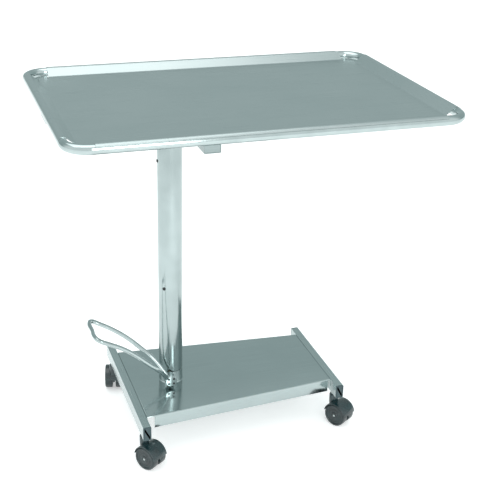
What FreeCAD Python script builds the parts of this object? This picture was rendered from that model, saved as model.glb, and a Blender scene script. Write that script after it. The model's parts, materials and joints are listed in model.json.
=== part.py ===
import FreeCAD, Part
import Sketcher
import math
import os
import re

# Overbed instrument table: a round-tube tray frame with a lift-off sheet tray, carried on a
# hydraulic telescopic column that stands on a folded base plate between two box members.
# Row frame: X along the tray, Y across it, Z up, floor at Z = 0, origin below the tray's middle.
# Millimetres throughout.

os.makedirs("parts", exist_ok=True)
doc = FreeCAD.newDocument("OverbedTable")
Vector = FreeCAD.Vector
Rotation = FreeCAD.Rotation
X_AXIS, Y_AXIS, Z_AXIS = Vector(1, 0, 0), Vector(0, 1, 0), Vector(0, 0, 1)

# ---------------------------------------------------------------- driving dimensions
DIMENSIONS = [
    # tray frame and sheet tray
    ("tray_length", 920), ("tray_width", 640),
    ("frame_tube_radius", 11), ("frame_tube_wall", 1.5), ("frame_bend_radius", 50),
    ("sheet_thickness", 1.2), ("hook_gap", 0.3), ("hook_angle", 52), ("slope_angle", 37),
    ("tray_recess", 18), ("flange_end_gap", 66), ("hook_cut", 26), ("corner_gap", 3), ("relief_width", 2),
    ("pad_radius", 12), ("pad_seat_gap", 0.35),
    # carrier under the tray
    ("column_offset", 160), ("rail_offset", 12), ("rail_width", 38), ("rail_depth", 20),
    ("rail_wall", 2), ("rail_end_inset", 14), ("beam_width", 78), ("beam_depth", 15),
    ("beam_end_inset", 9), ("head_plate_length", 130), ("head_plate_margin", 17),
    ("head_plate_thickness", 6), ("head_bolt_radius", 3), ("head_bolt_pitch_x", 20),
    ("head_bolt_clear", 8), ("bolt_hole_gap", 0.3),
    # column
    ("outer_radius", 30), ("outer_wall", 2), ("inner_radius", 27), ("inner_wall", 2),
    ("running_gap", 0.05), ("column_top", 786), ("collar_height", 32), ("rim_gap", 1.5),
    ("inner_room", 60), ("guide_height", 16), ("bush_height", 30), ("plug_height", 20),
    ("plug_flange", 4), ("spindle_radius", 15), ("washer_thickness", 2), ("sleeve_height", 35.7),
    ("swivel_gap", 0.3), ("lock_screw_radius", 4), ("lock_screw_drop", 12), ("guide_screw_height", 390),
    ("stop_screw_drop", 68),
    # hydraulic unit
    ("pump_rise", 24), ("pump_block_height", 30), ("cylinder_radius", 18),
    ("cylinder_bore", 15), ("gland_drop", 30), ("gland_height", 20),
    ("rod_radius", 9), ("piston_height", 22), ("piston_gap", 0.05),
    ("plunger_radius", 4), ("crank_length", 17), ("crank_rise", 15), ("crank_tip_radius", 4),
    ("crank_gap", 0.4), ("spring_wire_radius", 0.6), ("spring_radius", 6.5), ("spring_turns", 5),
    # base
    ("castor_height", 86), ("member_width", 20), ("member_height", 36), ("member_wall", 2),
    ("member_corner", 2), ("left_member_length", 424), ("right_member_length", 330),
    ("cap_thickness", 3), ("cap_insert", 12), ("cap_gap", 0.1),
    ("plate_left", 104), ("plate_right", 397), ("plate_left_half", 166), ("plate_right_half", 127),
    ("plate_thickness", 2), ("skirt_depth", 34), ("fold_radius", 3), ("notch_left", 20),
    ("notch_right", 8), ("side_fold_depth", 20), ("foot_size", 110), ("foot_thickness", 6),
    ("foot_stud_pitch", 84), ("stud_radius", 4), ("stud_length", 20), ("nut_height", 6.5),
    # pedal
    ("hub_offset", 13), ("hub_rise", 22), ("hub_radius", 15), ("hub_length", 22),
    ("hub_gap", 2), ("shaft_radius", 6), ("bush_wall", 2), ("cover_thickness", 3),
    ("cover_screw_pitch", 13), ("cover_screw_radius", 2.6), ("pedal_rod_radius", 5.5),
    ("pedal_reach", 208), ("pedal_rise", 170), ("pedal_width", 112), ("loop_cover_gap", 1.2),
    ("loop_set_off", 13), ("front_sag", 4),
    # castors
    ("wheel_radius", 30), ("wheel_width", 20), ("web_thickness", 6), ("wheel_side_gap", 1),
    ("hood_gap", 1), ("hood_wall", 2.5), ("hood_skirt_rise", 6), ("castor_trail", 20),
    ("stem_radius", 5), ("boss_radius", 11.5), ("boss_gap", 0.5), ("collar_thickness", 5),
    ("stem_inset", 35), ("socket_radius", 7.5), ("socket_height", 20), ("castor_axle_radius", 3),
    ("turn_front_left", 35), ("turn_front_right", 32), ("turn_back_left", 165),
    ("turn_back_right", 195),
    # values worked out from those above
    ("column_x", "=-column_offset"),
    ("plate_top", "=castor_height + member_height"),
    ("collar_top", "=plate_top + collar_height"),
    ("outer_base", "=collar_top + rim_gap"),
    ("outer_bore", "=outer_radius - outer_wall"),
    ("inner_bore", "=inner_radius - inner_wall"),
    ("hub_back", "=outer_radius + hub_gap"),
    ("head_hub_base", "=column_top + plug_flange + washer_thickness + swivel_gap"),
    ("head_plate_base", "=head_hub_base + sleeve_height"),
    ("head_plate_top", "=head_plate_base + head_plate_thickness"),
    ("lock_screw_height", "=head_plate_base - lock_screw_drop"),
    ("carrier_top", "=head_plate_top + rail_depth"),
    ("frame_centre_height", "=carrier_top + frame_tube_radius"),
    ("head_bolt_pitch_y", "=2 * (outer_radius + head_bolt_clear)"),
    ("head_plate_width", "=head_bolt_pitch_y + 2 * head_plate_margin"),
    ("frame_inset", "=frame_tube_radius + frame_bend_radius"),
    ("rail_x", "=column_x + rail_offset"),
    ("hook_inner", "=frame_tube_radius + hook_gap"),
    ("hook_outer", "=hook_inner + sheet_thickness"),
    ("sheet_top", "=frame_centre_height + hook_outer - tray_recess"),
    ("sheet_under", "=sheet_top - sheet_thickness"),
    ("member_x_left", "=column_x - plate_left - member_width / 2"),
    ("member_x_right", "=column_x + plate_right + member_width / 2"),
    ("hub_x", "=column_x - hub_offset"),
    ("hub_z", "=plate_top + hub_rise"),
    ("pump_block_base", "=hub_z + pump_rise"),
    ("pump_block_top", "=pump_block_base + pump_block_height"),
    ("inner_top", "=column_top - plug_height - inner_room - guide_height"),
    ("cylinder_height", "=inner_top - gland_drop - gland_height - pump_block_top"),
    ("stop_screw_height", "=column_top - stop_screw_drop"),
    ("pedal_top", "=hub_z + pedal_rise"),
]
ALIASES = {name for name, _ in DIMENSIONS}


def qualified(text, prefix="Dims."):
    """Put the sheet's name before each alias in an expression."""
    return re.sub(r"[a-z][a-z_]+",
                  lambda word: prefix + word.group() if word.group() in ALIASES else word.group(), text)


def fill_sheet():
    sheet = doc.addObject("Spreadsheet::Sheet", "Dims")
    for row, (name, value) in enumerate(DIMENSIONS, start=1):
        sheet.set("A%d" % row, name)
        sheet.set("B%d" % row, str(value))
        sheet.setAlias("B%d" % row, name)
    doc.recompute()
    return sheet


sheet = fill_sheet()


def size(name):
    """The present value of one alias."""
    return float(sheet.get(name))


# ---------------------------------------------------------------- helpers
def bind(obj, **sizes):
    """Bind properties to expressions of the sheet's aliases."""
    for name, text in sizes.items():
        obj.setExpression(name, qualified(str(text)))
    return obj


def put(obj, x="0", y="0", z="0", axis=None, angle=0.0):
    """Place an object: its base follows the sheet, its turn is fixed."""
    if axis is not None:
        obj.Placement = FreeCAD.Placement(Vector(), Rotation(axis, angle))
    for letter, text in zip("xyz", (x, y, z)):
        obj.setExpression(".Placement.Base." + letter, qualified(str(text)))
    return obj


def primitive(kind, **sizes):
    return bind(doc.addObject("Part::" + kind, kind), **sizes)


def cylinder(radius, height, x="0", y="0", z="0", axis=None, angle=0.0):
    return put(primitive("Cylinder", Radius=radius, Height=height), x, y, z, axis, angle)


def box(length, width, height, x, y, z):
    """A box centred on x and y, standing on z."""
    block = primitive("Box", Length=length, Width=width, Height=height)
    return put(block, "(%s) - (%s) / 2" % (x, length), "(%s) - (%s) / 2" % (y, width), z)


def fuse(*shapes):
    joined = doc.addObject("Part::MultiFuse", "Fuse")
    joined.Shapes = list(shapes)
    joined.Refine = True
    return joined


def cut(base, *tools):
    result = doc.addObject("Part::Cut", "Cut")
    result.Base = base
    result.Tool = tools[0] if len(tools) == 1 else fuse(*tools)
    return result


def mirrored(source, normal, base_x="0"):
    """The mirror image of an object in a plane square to normal."""
    image = doc.addObject("Part::Mirroring", "Mirror")
    image.Source = source
    image.Normal = normal
    image.setExpression(".Base.x", qualified(base_x))
    return image


def group(*members):
    """Several like solids kept as one named part."""
    compound = doc.addObject("Part::Compound", "Group")
    compound.Links = list(members)
    return compound


def tube(outer, inner, height, x, y, z, axis=None, angle=0.0):
    """A plain sleeve."""
    return cut(cylinder(outer, height, x, y, z, axis, angle), cylinder(inner, height, x, y, z, axis, angle))


def origin_plane(body, role):
    return next(item for item in body.Origin.OriginFeatures if item.Role == role)


def outline(body, role, points):
    """A closed sketch through the given points, each pinned by expressions."""
    sketch = body.newObject("Sketcher::SketchObject", "Sketch")
    sketch.AttachmentSupport = [(origin_plane(body, role), "")]
    sketch.MapMode = "FlatFace"
    count = len(points)
    seed = [Vector(100 * math.cos(2 * math.pi * i / count), 100 * math.sin(2 * math.pi * i / count), 0)
            for i in range(count)]
    for i in range(count):
        sketch.addGeometry(Part.LineSegment(seed[i], seed[(i + 1) % count]), False)
    for i in range(count):
        sketch.addConstraint(Sketcher.Constraint("Coincident", i, 2, (i + 1) % count, 1))
    for i, point in enumerate(points):
        for direction, text, value in zip(("DistanceX", "DistanceY"), point, (seed[i].x, seed[i].y)):
            number = sketch.addConstraint(Sketcher.Constraint(direction, -1, 1, i, 1, value))
            sketch.setExpression("Constraints[%d]" % number, qualified(str(text)))
    return sketch


def padded(points, length, role="XY_Plane", symmetric=False):
    """A body made by padding an outline."""
    body = doc.addObject("PartDesign::Body", "Body")
    sketch = outline(body, role, points)
    pad = body.newObject("PartDesign::Pad", "Pad")
    pad.Profile = sketch
    bind(pad, Length=length)
    if symmetric:
        pad.Midplane = True
    return body


def revolved(points, x="column_x", y="0", z="0"):
    """A body turned about the vertical through x, y; points are (radius, height)."""
    body = doc.addObject("PartDesign::Body", "Body")
    sketch = outline(body, "XZ_Plane", points)
    turn = body.newObject("PartDesign::Revolution", "Revolution")
    turn.Profile = sketch
    turn.ReferenceAxis = (sketch, ["V_Axis"])
    turn.Angle = 360
    return put(body, x, y, z)


PARTS = []


def part(label, obj):
    """Name a finished sub-part; every one of these is written out."""
    obj.Label = label
    PARTS.append(obj)
    return obj


# ---------------------------------------------------------------- tray frame and sheet tray
def frame_loop(radius):
    """The closed rounded rectangle of the frame, as a solid bar of the given radius."""
    long_run = "tray_length - 2 * frame_inset"
    short_run = "tray_width - 2 * frame_inset"
    side_x = "tray_length / 2 - frame_tube_radius"
    side_y = "tray_width / 2 - frame_tube_radius"
    corner_x = "tray_length / 2 - frame_inset"
    corner_y = "tray_width / 2 - frame_inset"
    level = "frame_centre_height"
    pieces = []
    for sign in ("-1", "1"):
        pieces.append(cylinder(radius, long_run, "-(%s)" % corner_x, "%s * (%s)" % (sign, side_y), level,
                               Y_AXIS, 90))
        pieces.append(cylinder(radius, short_run, "%s * (%s)" % (sign, side_x), corner_y, level, X_AXIS, 90))
    for sign_x, sign_y, turn in (("1", "1", 0), ("-1", "1", 90), ("-1", "-1", 180), ("1", "-1", 270)):
        bend = primitive("Torus", Radius1="frame_bend_radius", Radius2=radius, Angle3="90")
        pieces.append(put(bend, "%s * (%s)" % (sign_x, corner_x), "%s * (%s)" % (sign_y, corner_y), level,
                          Z_AXIS, turn))
    return fuse(*pieces)


def tray_frame():
    return cut(frame_loop("frame_tube_radius"), frame_loop("frame_tube_radius - frame_tube_wall"))


def hooked_flange(side_length, side_distance):
    """One edge of the sheet along X at -Y: flat lip, slope tangent to the tube, hook over it."""
    run = "(%s) - 2 * flange_end_gap" % side_length
    axis_y = "-(%s) / 2 + frame_tube_radius" % side_distance
    drop_outer = "(hook_outer * cos(slope_angle) - (hook_outer - tray_recess))"
    drop_inner = "(hook_inner * cos(slope_angle) - (hook_outer - tray_recess - sheet_thickness))"
    foot_outer = "hook_outer * sin(slope_angle) + %s / tan(slope_angle)" % drop_outer
    foot_inner = "hook_inner * sin(slope_angle) + %s / tan(slope_angle)" % drop_inner
    flat = "(%s) + 6" % foot_outer
    points = [
        ("hook_inner * sin(slope_angle)", "hook_inner * cos(slope_angle)"),
        (foot_inner, "hook_outer - tray_recess - sheet_thickness"),
        (flat, "hook_outer - tray_recess - sheet_thickness"),
        (flat, "hook_outer - tray_recess"),
        (foot_outer, "hook_outer - tray_recess"),
        ("hook_outer * sin(slope_angle)", "hook_outer * cos(slope_angle)"),
    ]
    slope = padded(points, run, "YZ_Plane")
    put(slope, "-(%s) / 2" % run, axis_y, "frame_centre_height")
    hook = primitive("Cylinder", Radius="hook_outer", Height=run, Angle="slope_angle + hook_angle")
    hollow = primitive("Cylinder", Radius="hook_inner", Height=run)
    # the sector starts on the slope's tangent point and ends on the outside of the tube
    start = 90 - size("slope_angle")
    lay = Rotation(Vector(0, 1, 0), Vector(0, 0, 1), X_AXIS, "ZXY")
    for item in (hook, hollow):
        item.Placement = FreeCAD.Placement(Vector(), lay.multiply(Rotation(Z_AXIS, start)))
        for letter, text in zip("xyz", ("-(%s) / 2" % run, axis_y, "frame_centre_height")):
            item.setExpression(".Placement.Base." + letter, qualified(text))
    joined = fuse(slope, cut(hook, hollow))
    # each end of the hook is cut back aslant, from the crest to the hook's lower edge
    crest_y = "%s + hook_outer * sin(slope_angle)" % axis_y
    lip_y = "%s - hook_outer - 1" % axis_y
    corner = padded([("(%s) / 2" % run, crest_y), ("(%s) / 2 - hook_cut" % run, lip_y),
                     ("(%s) / 2 + 1" % run, lip_y), ("(%s) / 2 + 1" % run, crest_y)], "4 * frame_tube_radius")
    put(corner, z="frame_centre_height - 2 * frame_tube_radius")
    return cut(joined, corner, mirrored(corner, X_AXIS))


def tray_flat():
    """The level floor of the sheet, with rounded corners that follow the frame."""
    reach = "(2 * frame_tube_radius + corner_gap)"
    blank = box("tray_length - 2 * %s" % reach, "tray_width - 2 * %s" % reach, "sheet_thickness", "0", "0",
                "sheet_under")
    rounded = doc.addObject("Part::Fillet", "Rounded")
    rounded.Base = blank
    corner = size("frame_bend_radius") - size("frame_tube_radius") - size("corner_gap")
    doc.recompute()
    upright = [i + 1 for i, edge in enumerate(blank.Shape.Edges)
               if abs(edge.tangentAt(edge.FirstParameter).z) > 0.9]
    rounded.Edges = [(i, corner, corner) for i in upright]
    drop = "(hook_outer * cos(slope_angle) - (hook_outer - tray_recess)) / tan(slope_angle)"
    clear = "(frame_tube_radius + hook_outer * sin(slope_angle) + %s + 3)" % drop
    height = "4 * sheet_thickness"
    tools = []
    for sign in ("-1", "1"):
        tools.append(box("tray_length - 2 * flange_end_gap + 2 * relief_width", clear, height,
                         "0", "%s * (tray_width / 2 - %s / 2)" % (sign, clear),
                         "sheet_under - sheet_thickness"))
        tools.append(box(clear, "tray_width - 2 * flange_end_gap + 2 * relief_width", height,
                         "%s * (tray_length / 2 - %s / 2)" % (sign, clear), "0",
                         "sheet_under - sheet_thickness"))
    return cut(rounded, *tools)


def tray_sheet():
    front = hooked_flange("tray_length", "tray_width")
    side = hooked_flange("tray_width", "tray_length")
    left = doc.addObject("Part::Compound", "Left")
    left.Links = [side]
    left.Placement = FreeCAD.Placement(Vector(), Rotation(Z_AXIS, -90))
    back = mirrored(front, Y_AXIS)
    right = mirrored(left, X_AXIS)
    return fuse(tray_flat(), front, back, left, right)


def rest_pads():
    """Four rubber discs between the carrier and the sheet tray."""
    height = "sheet_under - carrier_top - pad_seat_gap"
    spots = [("rail_x", "-tray_width * 0.3"), ("rail_x", "tray_width * 0.3"),
             ("-tray_length * 0.38", "0"), ("tray_length * 0.38", "0")]
    return group(*[cylinder("pad_radius", height, x, y, "carrier_top") for x, y in spots])


# ---------------------------------------------------------------- carrier under the tray
def bolt_spots():
    return [("rail_x + %s * head_bolt_pitch_x / 2" % a, "%s * head_bolt_pitch_y / 2" % b)
            for a in ("-1", "1") for b in ("-1", "1")]


def cross_rail():
    length = "tray_width - 2 * rail_end_inset"
    outer = box("rail_width", length, "rail_depth", "rail_x", "0", "head_plate_top")
    bore = box("rail_width - 2 * rail_wall", "(%s) - 2 * rail_wall" % length, "rail_depth - 2 * rail_wall",
               "rail_x", "0", "head_plate_top + rail_wall")
    holes = [cylinder("head_bolt_radius + bolt_hole_gap", "2 * rail_wall", x, y,
                      "head_plate_top - rail_wall / 2")
             for x, y in bolt_spots()]
    return cut(outer, bore, *holes)


def long_beam(start, end):
    """A folded channel, open below, closed at its two ends."""
    length = "((%s) - (%s))" % (end, start)
    middle = "((%s) + (%s)) / 2" % (start, end)
    level = "carrier_top - beam_depth"
    skin = box(length, "beam_width", "beam_depth", middle, "0", level)
    hollow = box("%s - 2 * rail_wall" % length, "beam_width - 2 * rail_wall", "beam_depth - rail_wall",
                 middle, "0", level)
    return cut(skin, hollow)


def head_plate():
    level = "head_plate_base"
    plate = box("head_plate_length", "head_plate_width", "head_plate_thickness", "column_x + rail_offset / 2",
                "0", level)
    holes = [cylinder("head_bolt_radius + bolt_hole_gap", "2 * head_plate_thickness", x, y, "%s - 1" % level)
             for x, y in bolt_spots()]
    return cut(plate, *holes)


def head_bolts():
    under = "head_plate_base"
    bolts = []
    for x, y in bolt_spots():
        head = put(primitive("Prism", Polygon="6", Circumradius="2 * head_bolt_radius", Height="4"), x, y,
                   "%s - 4" % under)
        shank = cylinder("head_bolt_radius", "head_plate_thickness + rail_wall + 6", x, y, under)
        bolts.append(fuse(head, shank))
    return group(*bolts)


def head_nuts():
    nuts = []
    for x, y in bolt_spots():
        level = "head_plate_top + rail_wall"
        body = put(primitive("Prism", Polygon="6", Circumradius="2 * head_bolt_radius", Height="5"), x, y,
                   level)
        nuts.append(cut(body, cylinder("head_bolt_radius", "8", x, y, "%s - 1" % level)))
    return group(*nuts)


def head_hub():
    """The turning sleeve under the head plate; a radial screw holds it on the spindle."""
    sleeve = tube("outer_radius", "spindle_radius + running_gap", "sleeve_height", "column_x", "0",
                  "head_hub_base")
    hole = cylinder("lock_screw_radius", "outer_radius", "column_x", "0", "lock_screw_height", X_AXIS, -90)
    return cut(sleeve, hole)


def hub_lock_screw():
    tip = cylinder("lock_screw_radius", "outer_radius - spindle_radius + 1", "column_x", "spindle_radius - 2",
                   "lock_screw_height", X_AXIS, -90)
    socket = cylinder("lock_screw_radius / 2", "4", "column_x", "outer_radius - 4", "lock_screw_height",
                      X_AXIS, -90)
    return cut(tip, socket)


# ---------------------------------------------------------------- lifting column
def outer_column():
    wall = tube("outer_radius", "outer_bore", "column_top - outer_base", "column_x", "0", "outer_base")
    holes = [cylinder("2", "outer_radius", "column_x", "0", "guide_screw_height", Vector(1, -1, 0), 90),
             cylinder("2", "outer_radius", "column_x", "0", "stop_screw_height", Y_AXIS, -90)]
    return cut(wall, *holes)


def guide_screws():
    """Two button-head screws in the outer tube."""
    screws = []
    for level, axis, turn in (("guide_screw_height", Vector(1, -1, 0), 90),
                              ("stop_screw_height", Y_AXIS, -90)):
        direction = Rotation(axis, turn).multVec(Z_AXIS)
        shank = cylinder("2", "outer_wall + 0.4", axis=axis, angle=turn,
                         x="column_x + %.6f * (outer_bore + 0.2)" % direction.x,
                         y="%.6f * (outer_bore + 0.2)" % direction.y, z=level)
        head = cylinder("4", "1.8", axis=axis, angle=turn,
                        x="column_x + %.6f * (outer_radius + 0.05)" % direction.x,
                        y="%.6f * (outer_radius + 0.05)" % direction.y, z=level)
        screws.append(fuse(shank, head))
    return group(*screws)


def column_top_plug():
    flange_top = "column_top + plug_flange"
    base = "column_top - plug_height"
    return revolved([("rod_radius", base), ("outer_bore", base), ("outer_bore", "column_top"),
                     ("outer_radius", "column_top"), ("outer_radius", flange_top),
                     ("rod_radius", flange_top)])


def swivel_spindle():
    """The post the tray head turns on, with a groove for the lock screw's tip."""
    base = "column_top + plug_flange"
    top = "head_plate_base - 1"
    groove_base = "lock_screw_height - lock_screw_radius - 0.5"
    groove_top = "lock_screw_height + lock_screw_radius + 0.5"
    neck = "spindle_radius - 2.5"
    return revolved([("0", base), ("spindle_radius", base), ("spindle_radius", groove_base),
                     (neck, groove_base),
                     (neck, groove_top), ("spindle_radius", groove_top), ("spindle_radius", top), ("0", top)])


def inner_column():
    """The fixed guide tube, cut through at the front for the pedal shaft's bush."""
    base = "plate_top - plate_thickness - foot_thickness - 10"
    wall = tube("inner_radius", "inner_bore", "inner_top - (%s)" % base, "column_x", "0", base)
    return cut(wall, cylinder("shaft_radius + bush_wall", "hub_back", "hub_x", "0", "hub_z", X_AXIS, 90))


def column_collar():
    ring = tube("outer_radius", "inner_radius", "collar_height", "column_x", "0", "plate_top")
    return cut(ring, cylinder("shaft_radius + bush_wall", "hub_back + 5", "hub_x", "0", "hub_z", X_AXIS, 90))


def upper_guide_ring():
    """The plastic ring on the inner tube's top that bears on the outer tube's bore."""
    return revolved([("cylinder_radius + 1", "inner_top - 8"), ("inner_bore", "inner_top - 8"),
                     ("inner_bore", "inner_top"), ("outer_bore - running_gap", "inner_top"),
                     ("outer_bore - running_gap", "inner_top + guide_height"),
                     ("cylinder_radius + 1", "inner_top + guide_height")])


def lower_guide_bush():
    return tube("outer_bore", "inner_radius + running_gap", "bush_height", "column_x", "0", "outer_base + 1")


# ---------------------------------------------------------------- hydraulic unit
def plunger_spot():
    reach = "hub_x + crank_length * cos(crank_rise)"
    return reach


def pump_block():
    block = cylinder("inner_bore", "pump_block_height", "column_x", "0", "pump_block_base")
    bore = cylinder("plunger_radius + running_gap", "pump_block_height - 6", plunger_spot(), "0",
                    "pump_block_base - 1")
    return cut(block, bore)


def ram_cylinder():
    wall = tube("cylinder_radius", "cylinder_bore", "cylinder_height", "column_x", "0", "pump_block_top")
    return wall


def cylinder_gland():
    base = "pump_block_top + cylinder_height"
    return tube("cylinder_radius", "rod_radius + running_gap", "gland_height", "column_x", "0", base)


def ram_piston():
    return tube("cylinder_bore - piston_gap", "rod_radius - 2", "piston_height", "column_x", "0",
                "pump_block_top + 5")


def ram_rod():
    """The rod, necked into the piston below and into the top plug above."""
    base = "pump_block_top + 5"
    shoulder = "%s + piston_height" % base
    return revolved([("0", base), ("rod_radius - 2", base), ("rod_radius - 2", shoulder),
                     ("rod_radius", shoulder),
                     ("rod_radius", "column_top + plug_flange"), ("0", "column_top + plug_flange")])


CRANK_Y = "-4"


def pump_crank():
    """The arm on the pedal shaft inside the column; its round tip pushes the plunger up."""
    thickness = "8"
    eye = cylinder("shaft_radius + 2", thickness, "hub_x", "%s + 8" % CRANK_Y, "hub_z", X_AXIS, 90)
    tip_x = "hub_x + crank_length * cos(crank_rise)"
    tip_z = "hub_z - crank_length * sin(crank_rise)"
    tip = cylinder("crank_tip_radius", thickness, tip_x, "%s + 8" % CRANK_Y, tip_z, X_AXIS, 90)
    arm = primitive("Box", Length="crank_length", Width=thickness, Height="4")
    turn = size("crank_rise")
    put(arm, "hub_x - 2 * sin(crank_rise)", CRANK_Y, "hub_z - 2 * cos(crank_rise)", Y_AXIS, turn)
    return cut(fuse(eye, arm, tip), cylinder("shaft_radius", "20", "hub_x", "%s + 14" % CRANK_Y, "hub_z",
                                             X_AXIS, 90))


def plunger_base():
    return "hub_z - crank_length * sin(crank_rise) + crank_tip_radius + crank_gap"


def pump_plunger():
    """A small piston with a spring collar near its foot."""
    base = plunger_base()
    top = "pump_block_base + 10"
    return revolved([("0", base), ("7.5", base), ("7.5", "%s + 2" % base),
                     ("plunger_radius", "%s + 2" % base),
                     ("plunger_radius", top), ("0", top)], x=plunger_spot())


def plunger_spring():
    """The return spring between the plunger's collar and the pump block, as a turned helix."""
    seat = "(%s) + 2 + spring_wire_radius + 0.05" % plunger_base()
    height = "pump_block_base - spring_wire_radius - 0.05 - (%s)" % seat
    body = doc.addObject("PartDesign::Body", "Body")
    sketch = body.newObject("Sketcher::SketchObject", "Sketch")
    sketch.AttachmentSupport = [(origin_plane(body, "XZ_Plane"), "")]
    sketch.MapMode = "FlatFace"
    sketch.addGeometry(Part.Circle(Vector(6, 0, 0), Z_AXIS, 0.5), False)
    pinned = [("Radius", (0,), 0.5, "spring_wire_radius"), ("DistanceX", (-1, 1, 0, 3), 6, "spring_radius")]
    for kind, where, value, text in pinned:
        number = sketch.addConstraint(Sketcher.Constraint(kind, *where, value))
        sketch.setExpression("Constraints[%d]" % number, qualified(text))
    sketch.addConstraint(Sketcher.Constraint("PointOnObject", 0, 3, -1))
    coil = body.newObject("PartDesign::AdditiveHelix", "Coil")
    coil.Profile = sketch
    coil.ReferenceAxis = (sketch, ["V_Axis"])
    coil.Mode = 0
    bind(coil, Pitch="(%s) / spring_turns" % height, Height=height)
    return put(body, plunger_spot(), "0", seat)


# ---------------------------------------------------------------- base
def side_member(x, length):
    """A box tube along Y with rounded long edges and holes for its two castor sockets."""
    run = "(%s) - 2 * cap_thickness" % length
    outer = box("member_width", run, "member_height", x, "0", "castor_height")
    doc.recompute()
    rounded = doc.addObject("Part::Fillet", "Rounded")
    rounded.Base = outer
    along = [i + 1 for i, edge in enumerate(outer.Shape.Edges)
             if abs(edge.tangentAt(edge.FirstParameter).y) > 0.9]
    rounded.Edges = [(i, size("member_corner"), size("member_corner")) for i in along]
    bore = box("member_width - 2 * member_wall", "(%s) + 2" % run, "member_height - 2 * member_wall", x, "0",
               "castor_height + member_wall")
    holes = [cylinder("socket_radius", "2 * member_wall", x, "%s * ((%s) / 2 - stem_inset)" % (sign, length),
                      "castor_height - member_wall / 2") for sign in ("-1", "1")]
    return cut(rounded, bore, *holes)


def end_cap(x, length, sign):
    """A plastic plug: a face as large as the tube and a hollow insert."""
    face_y = "%s * ((%s) / 2 - cap_thickness / 2)" % (sign, length)
    insert_y = "%s * ((%s) / 2 - cap_thickness - cap_insert / 2)" % (sign, length)
    face = box("member_width", "cap_thickness", "member_height", x, face_y, "castor_height")
    depth = "member_width - 2 * member_wall - 2 * cap_gap"
    rise = "member_height - 2 * member_wall - 2 * cap_gap"
    insert = box(depth, "cap_insert", rise, x, insert_y, "castor_height + member_wall + cap_gap")
    return fuse(face, insert)


def member_end_caps():
    caps = []
    for x, length in (("member_x_left", "left_member_length"), ("member_x_right", "right_member_length")):
        caps += [end_cap(x, length, sign) for sign in ("-1", "1")]
    return group(*caps)


def base_plate():
    """A tapered tray of folded sheet, open below: a padded wedge, its folds rounded, then hollowed."""
    body = padded([("-plate_left", "-plate_left_half"), ("plate_right", "-plate_right_half"),
                   ("plate_right", "plate_right_half"), ("-plate_left", "plate_left_half")], "skirt_depth")
    put(body, "column_x", "0", "plate_top - skirt_depth")
    doc.recompute()
    pad = body.Tip
    edges = []
    for i, edge in enumerate(pad.Shape.Edges):
        if all(abs(vertex.Z - pad.Shape.BoundBox.ZMax) < 1e-6 for vertex in edge.Vertexes):
            edges.append("Edge%d" % (i + 1))
    fold = body.newObject("PartDesign::Fillet", "Fold")
    fold.Base = (pad, edges)
    bind(fold, Radius="fold_radius")
    doc.recompute()
    under = [i + 1 for i, face in enumerate(fold.Shape.Faces)
             if face.BoundBox.ZLength < 1e-6 and abs(face.CenterOfMass.z - fold.Shape.BoundBox.ZMin) < 1e-6]
    shell = body.newObject("PartDesign::Thickness", "Shell")
    shell.Base = (fold, ["Face%d" % under[0]])
    bind(shell, Value="plate_thickness")
    shell.Reversed = True
    shell.Mode = 0
    doc.recompute()
    tools = [cylinder("inner_radius", "3 * plate_thickness", "column_x", "0",
                      "plate_top - 2 * plate_thickness")]
    skirt = "skirt_depth - fold_radius"
    for edge_x, half, notch, inward in (("column_x - plate_left", "plate_left_half", "notch_left", "1"),
                                        ("column_x + plate_right", "plate_right_half", "notch_right", "-1")):
        for sign in ("-1", "1"):
            tools.append(box("2 * (%s)" % notch, "40", skirt, edge_x, "%s * (%s)" % (sign, half),
                             "plate_top - skirt_depth"))
        tools.append(box("2 * plate_thickness + 2 * fold_radius", "2 * (%s)" % half,
                         "skirt_depth - side_fold_depth",
                         edge_x, "0", "plate_top - skirt_depth"))
    return cut(body, *tools)


def stud_spots():
    return [("column_x + %s * foot_stud_pitch / 2" % a, "%s * foot_stud_pitch / 2" % b)
            for a in ("-1", "1") for b in ("-1", "1")]


def foot_flange():
    level = "plate_top - plate_thickness - foot_thickness"
    plate = box("foot_size", "foot_size", "foot_thickness", "column_x", "0", level)
    holes = [cylinder("stud_radius + bolt_hole_gap", "2 * foot_thickness", x, y, "%s - 1" % level)
             for x, y in stud_spots()]
    return cut(plate, cylinder("inner_radius", "2 * foot_thickness", "column_x", "0", "%s - 1" % level),
               *holes)


def foot_studs():
    top = "plate_top - plate_thickness"
    return group(*[cylinder("stud_radius", "stud_length", x, y, "%s - stud_length" % top)
                   for x, y in stud_spots()])


def foot_nuts():
    level = "plate_top - plate_thickness - foot_thickness - nut_height"
    nuts = []
    for x, y in stud_spots():
        body = put(primitive("Prism", Polygon="6", Circumradius="1.8 * stud_radius", Height="nut_height"), x,
                   y, level)
        nuts.append(cut(body, cylinder("stud_radius", "2 * nut_height", x, y, "%s - 1" % level)))
    return group(*nuts)


# ---------------------------------------------------------------- pedal
def pedal_hub():
    """A round boss on the pedal shaft with two sockets for the loop's ends."""
    boss = cylinder("hub_radius", "hub_length", "hub_x", "-hub_back", "hub_z", X_AXIS, 90)
    bore = cylinder("shaft_radius", "hub_back + hub_length", "hub_x", "-hub_back / 2", "hub_z", X_AXIS, 90)
    return cut(boss, bore)


def pedal_shaft():
    length = "hub_back + hub_length + 12"
    return cylinder("shaft_radius", length, "hub_x", "12", "hub_z", X_AXIS, 90)


def shaft_bush():
    return tube("shaft_radius + bush_wall", "shaft_radius + running_gap", "12", "hub_x",
                "-hub_back + 0.5 + 12", "hub_z", X_AXIS, 90)


def cover_spots():
    return [("hub_x + %s * cover_screw_pitch / 2" % a, "hub_z + %s * cover_screw_pitch / 2" % b)
            for a in ("-1", "1") for b in ("-1", "1")]


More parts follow.
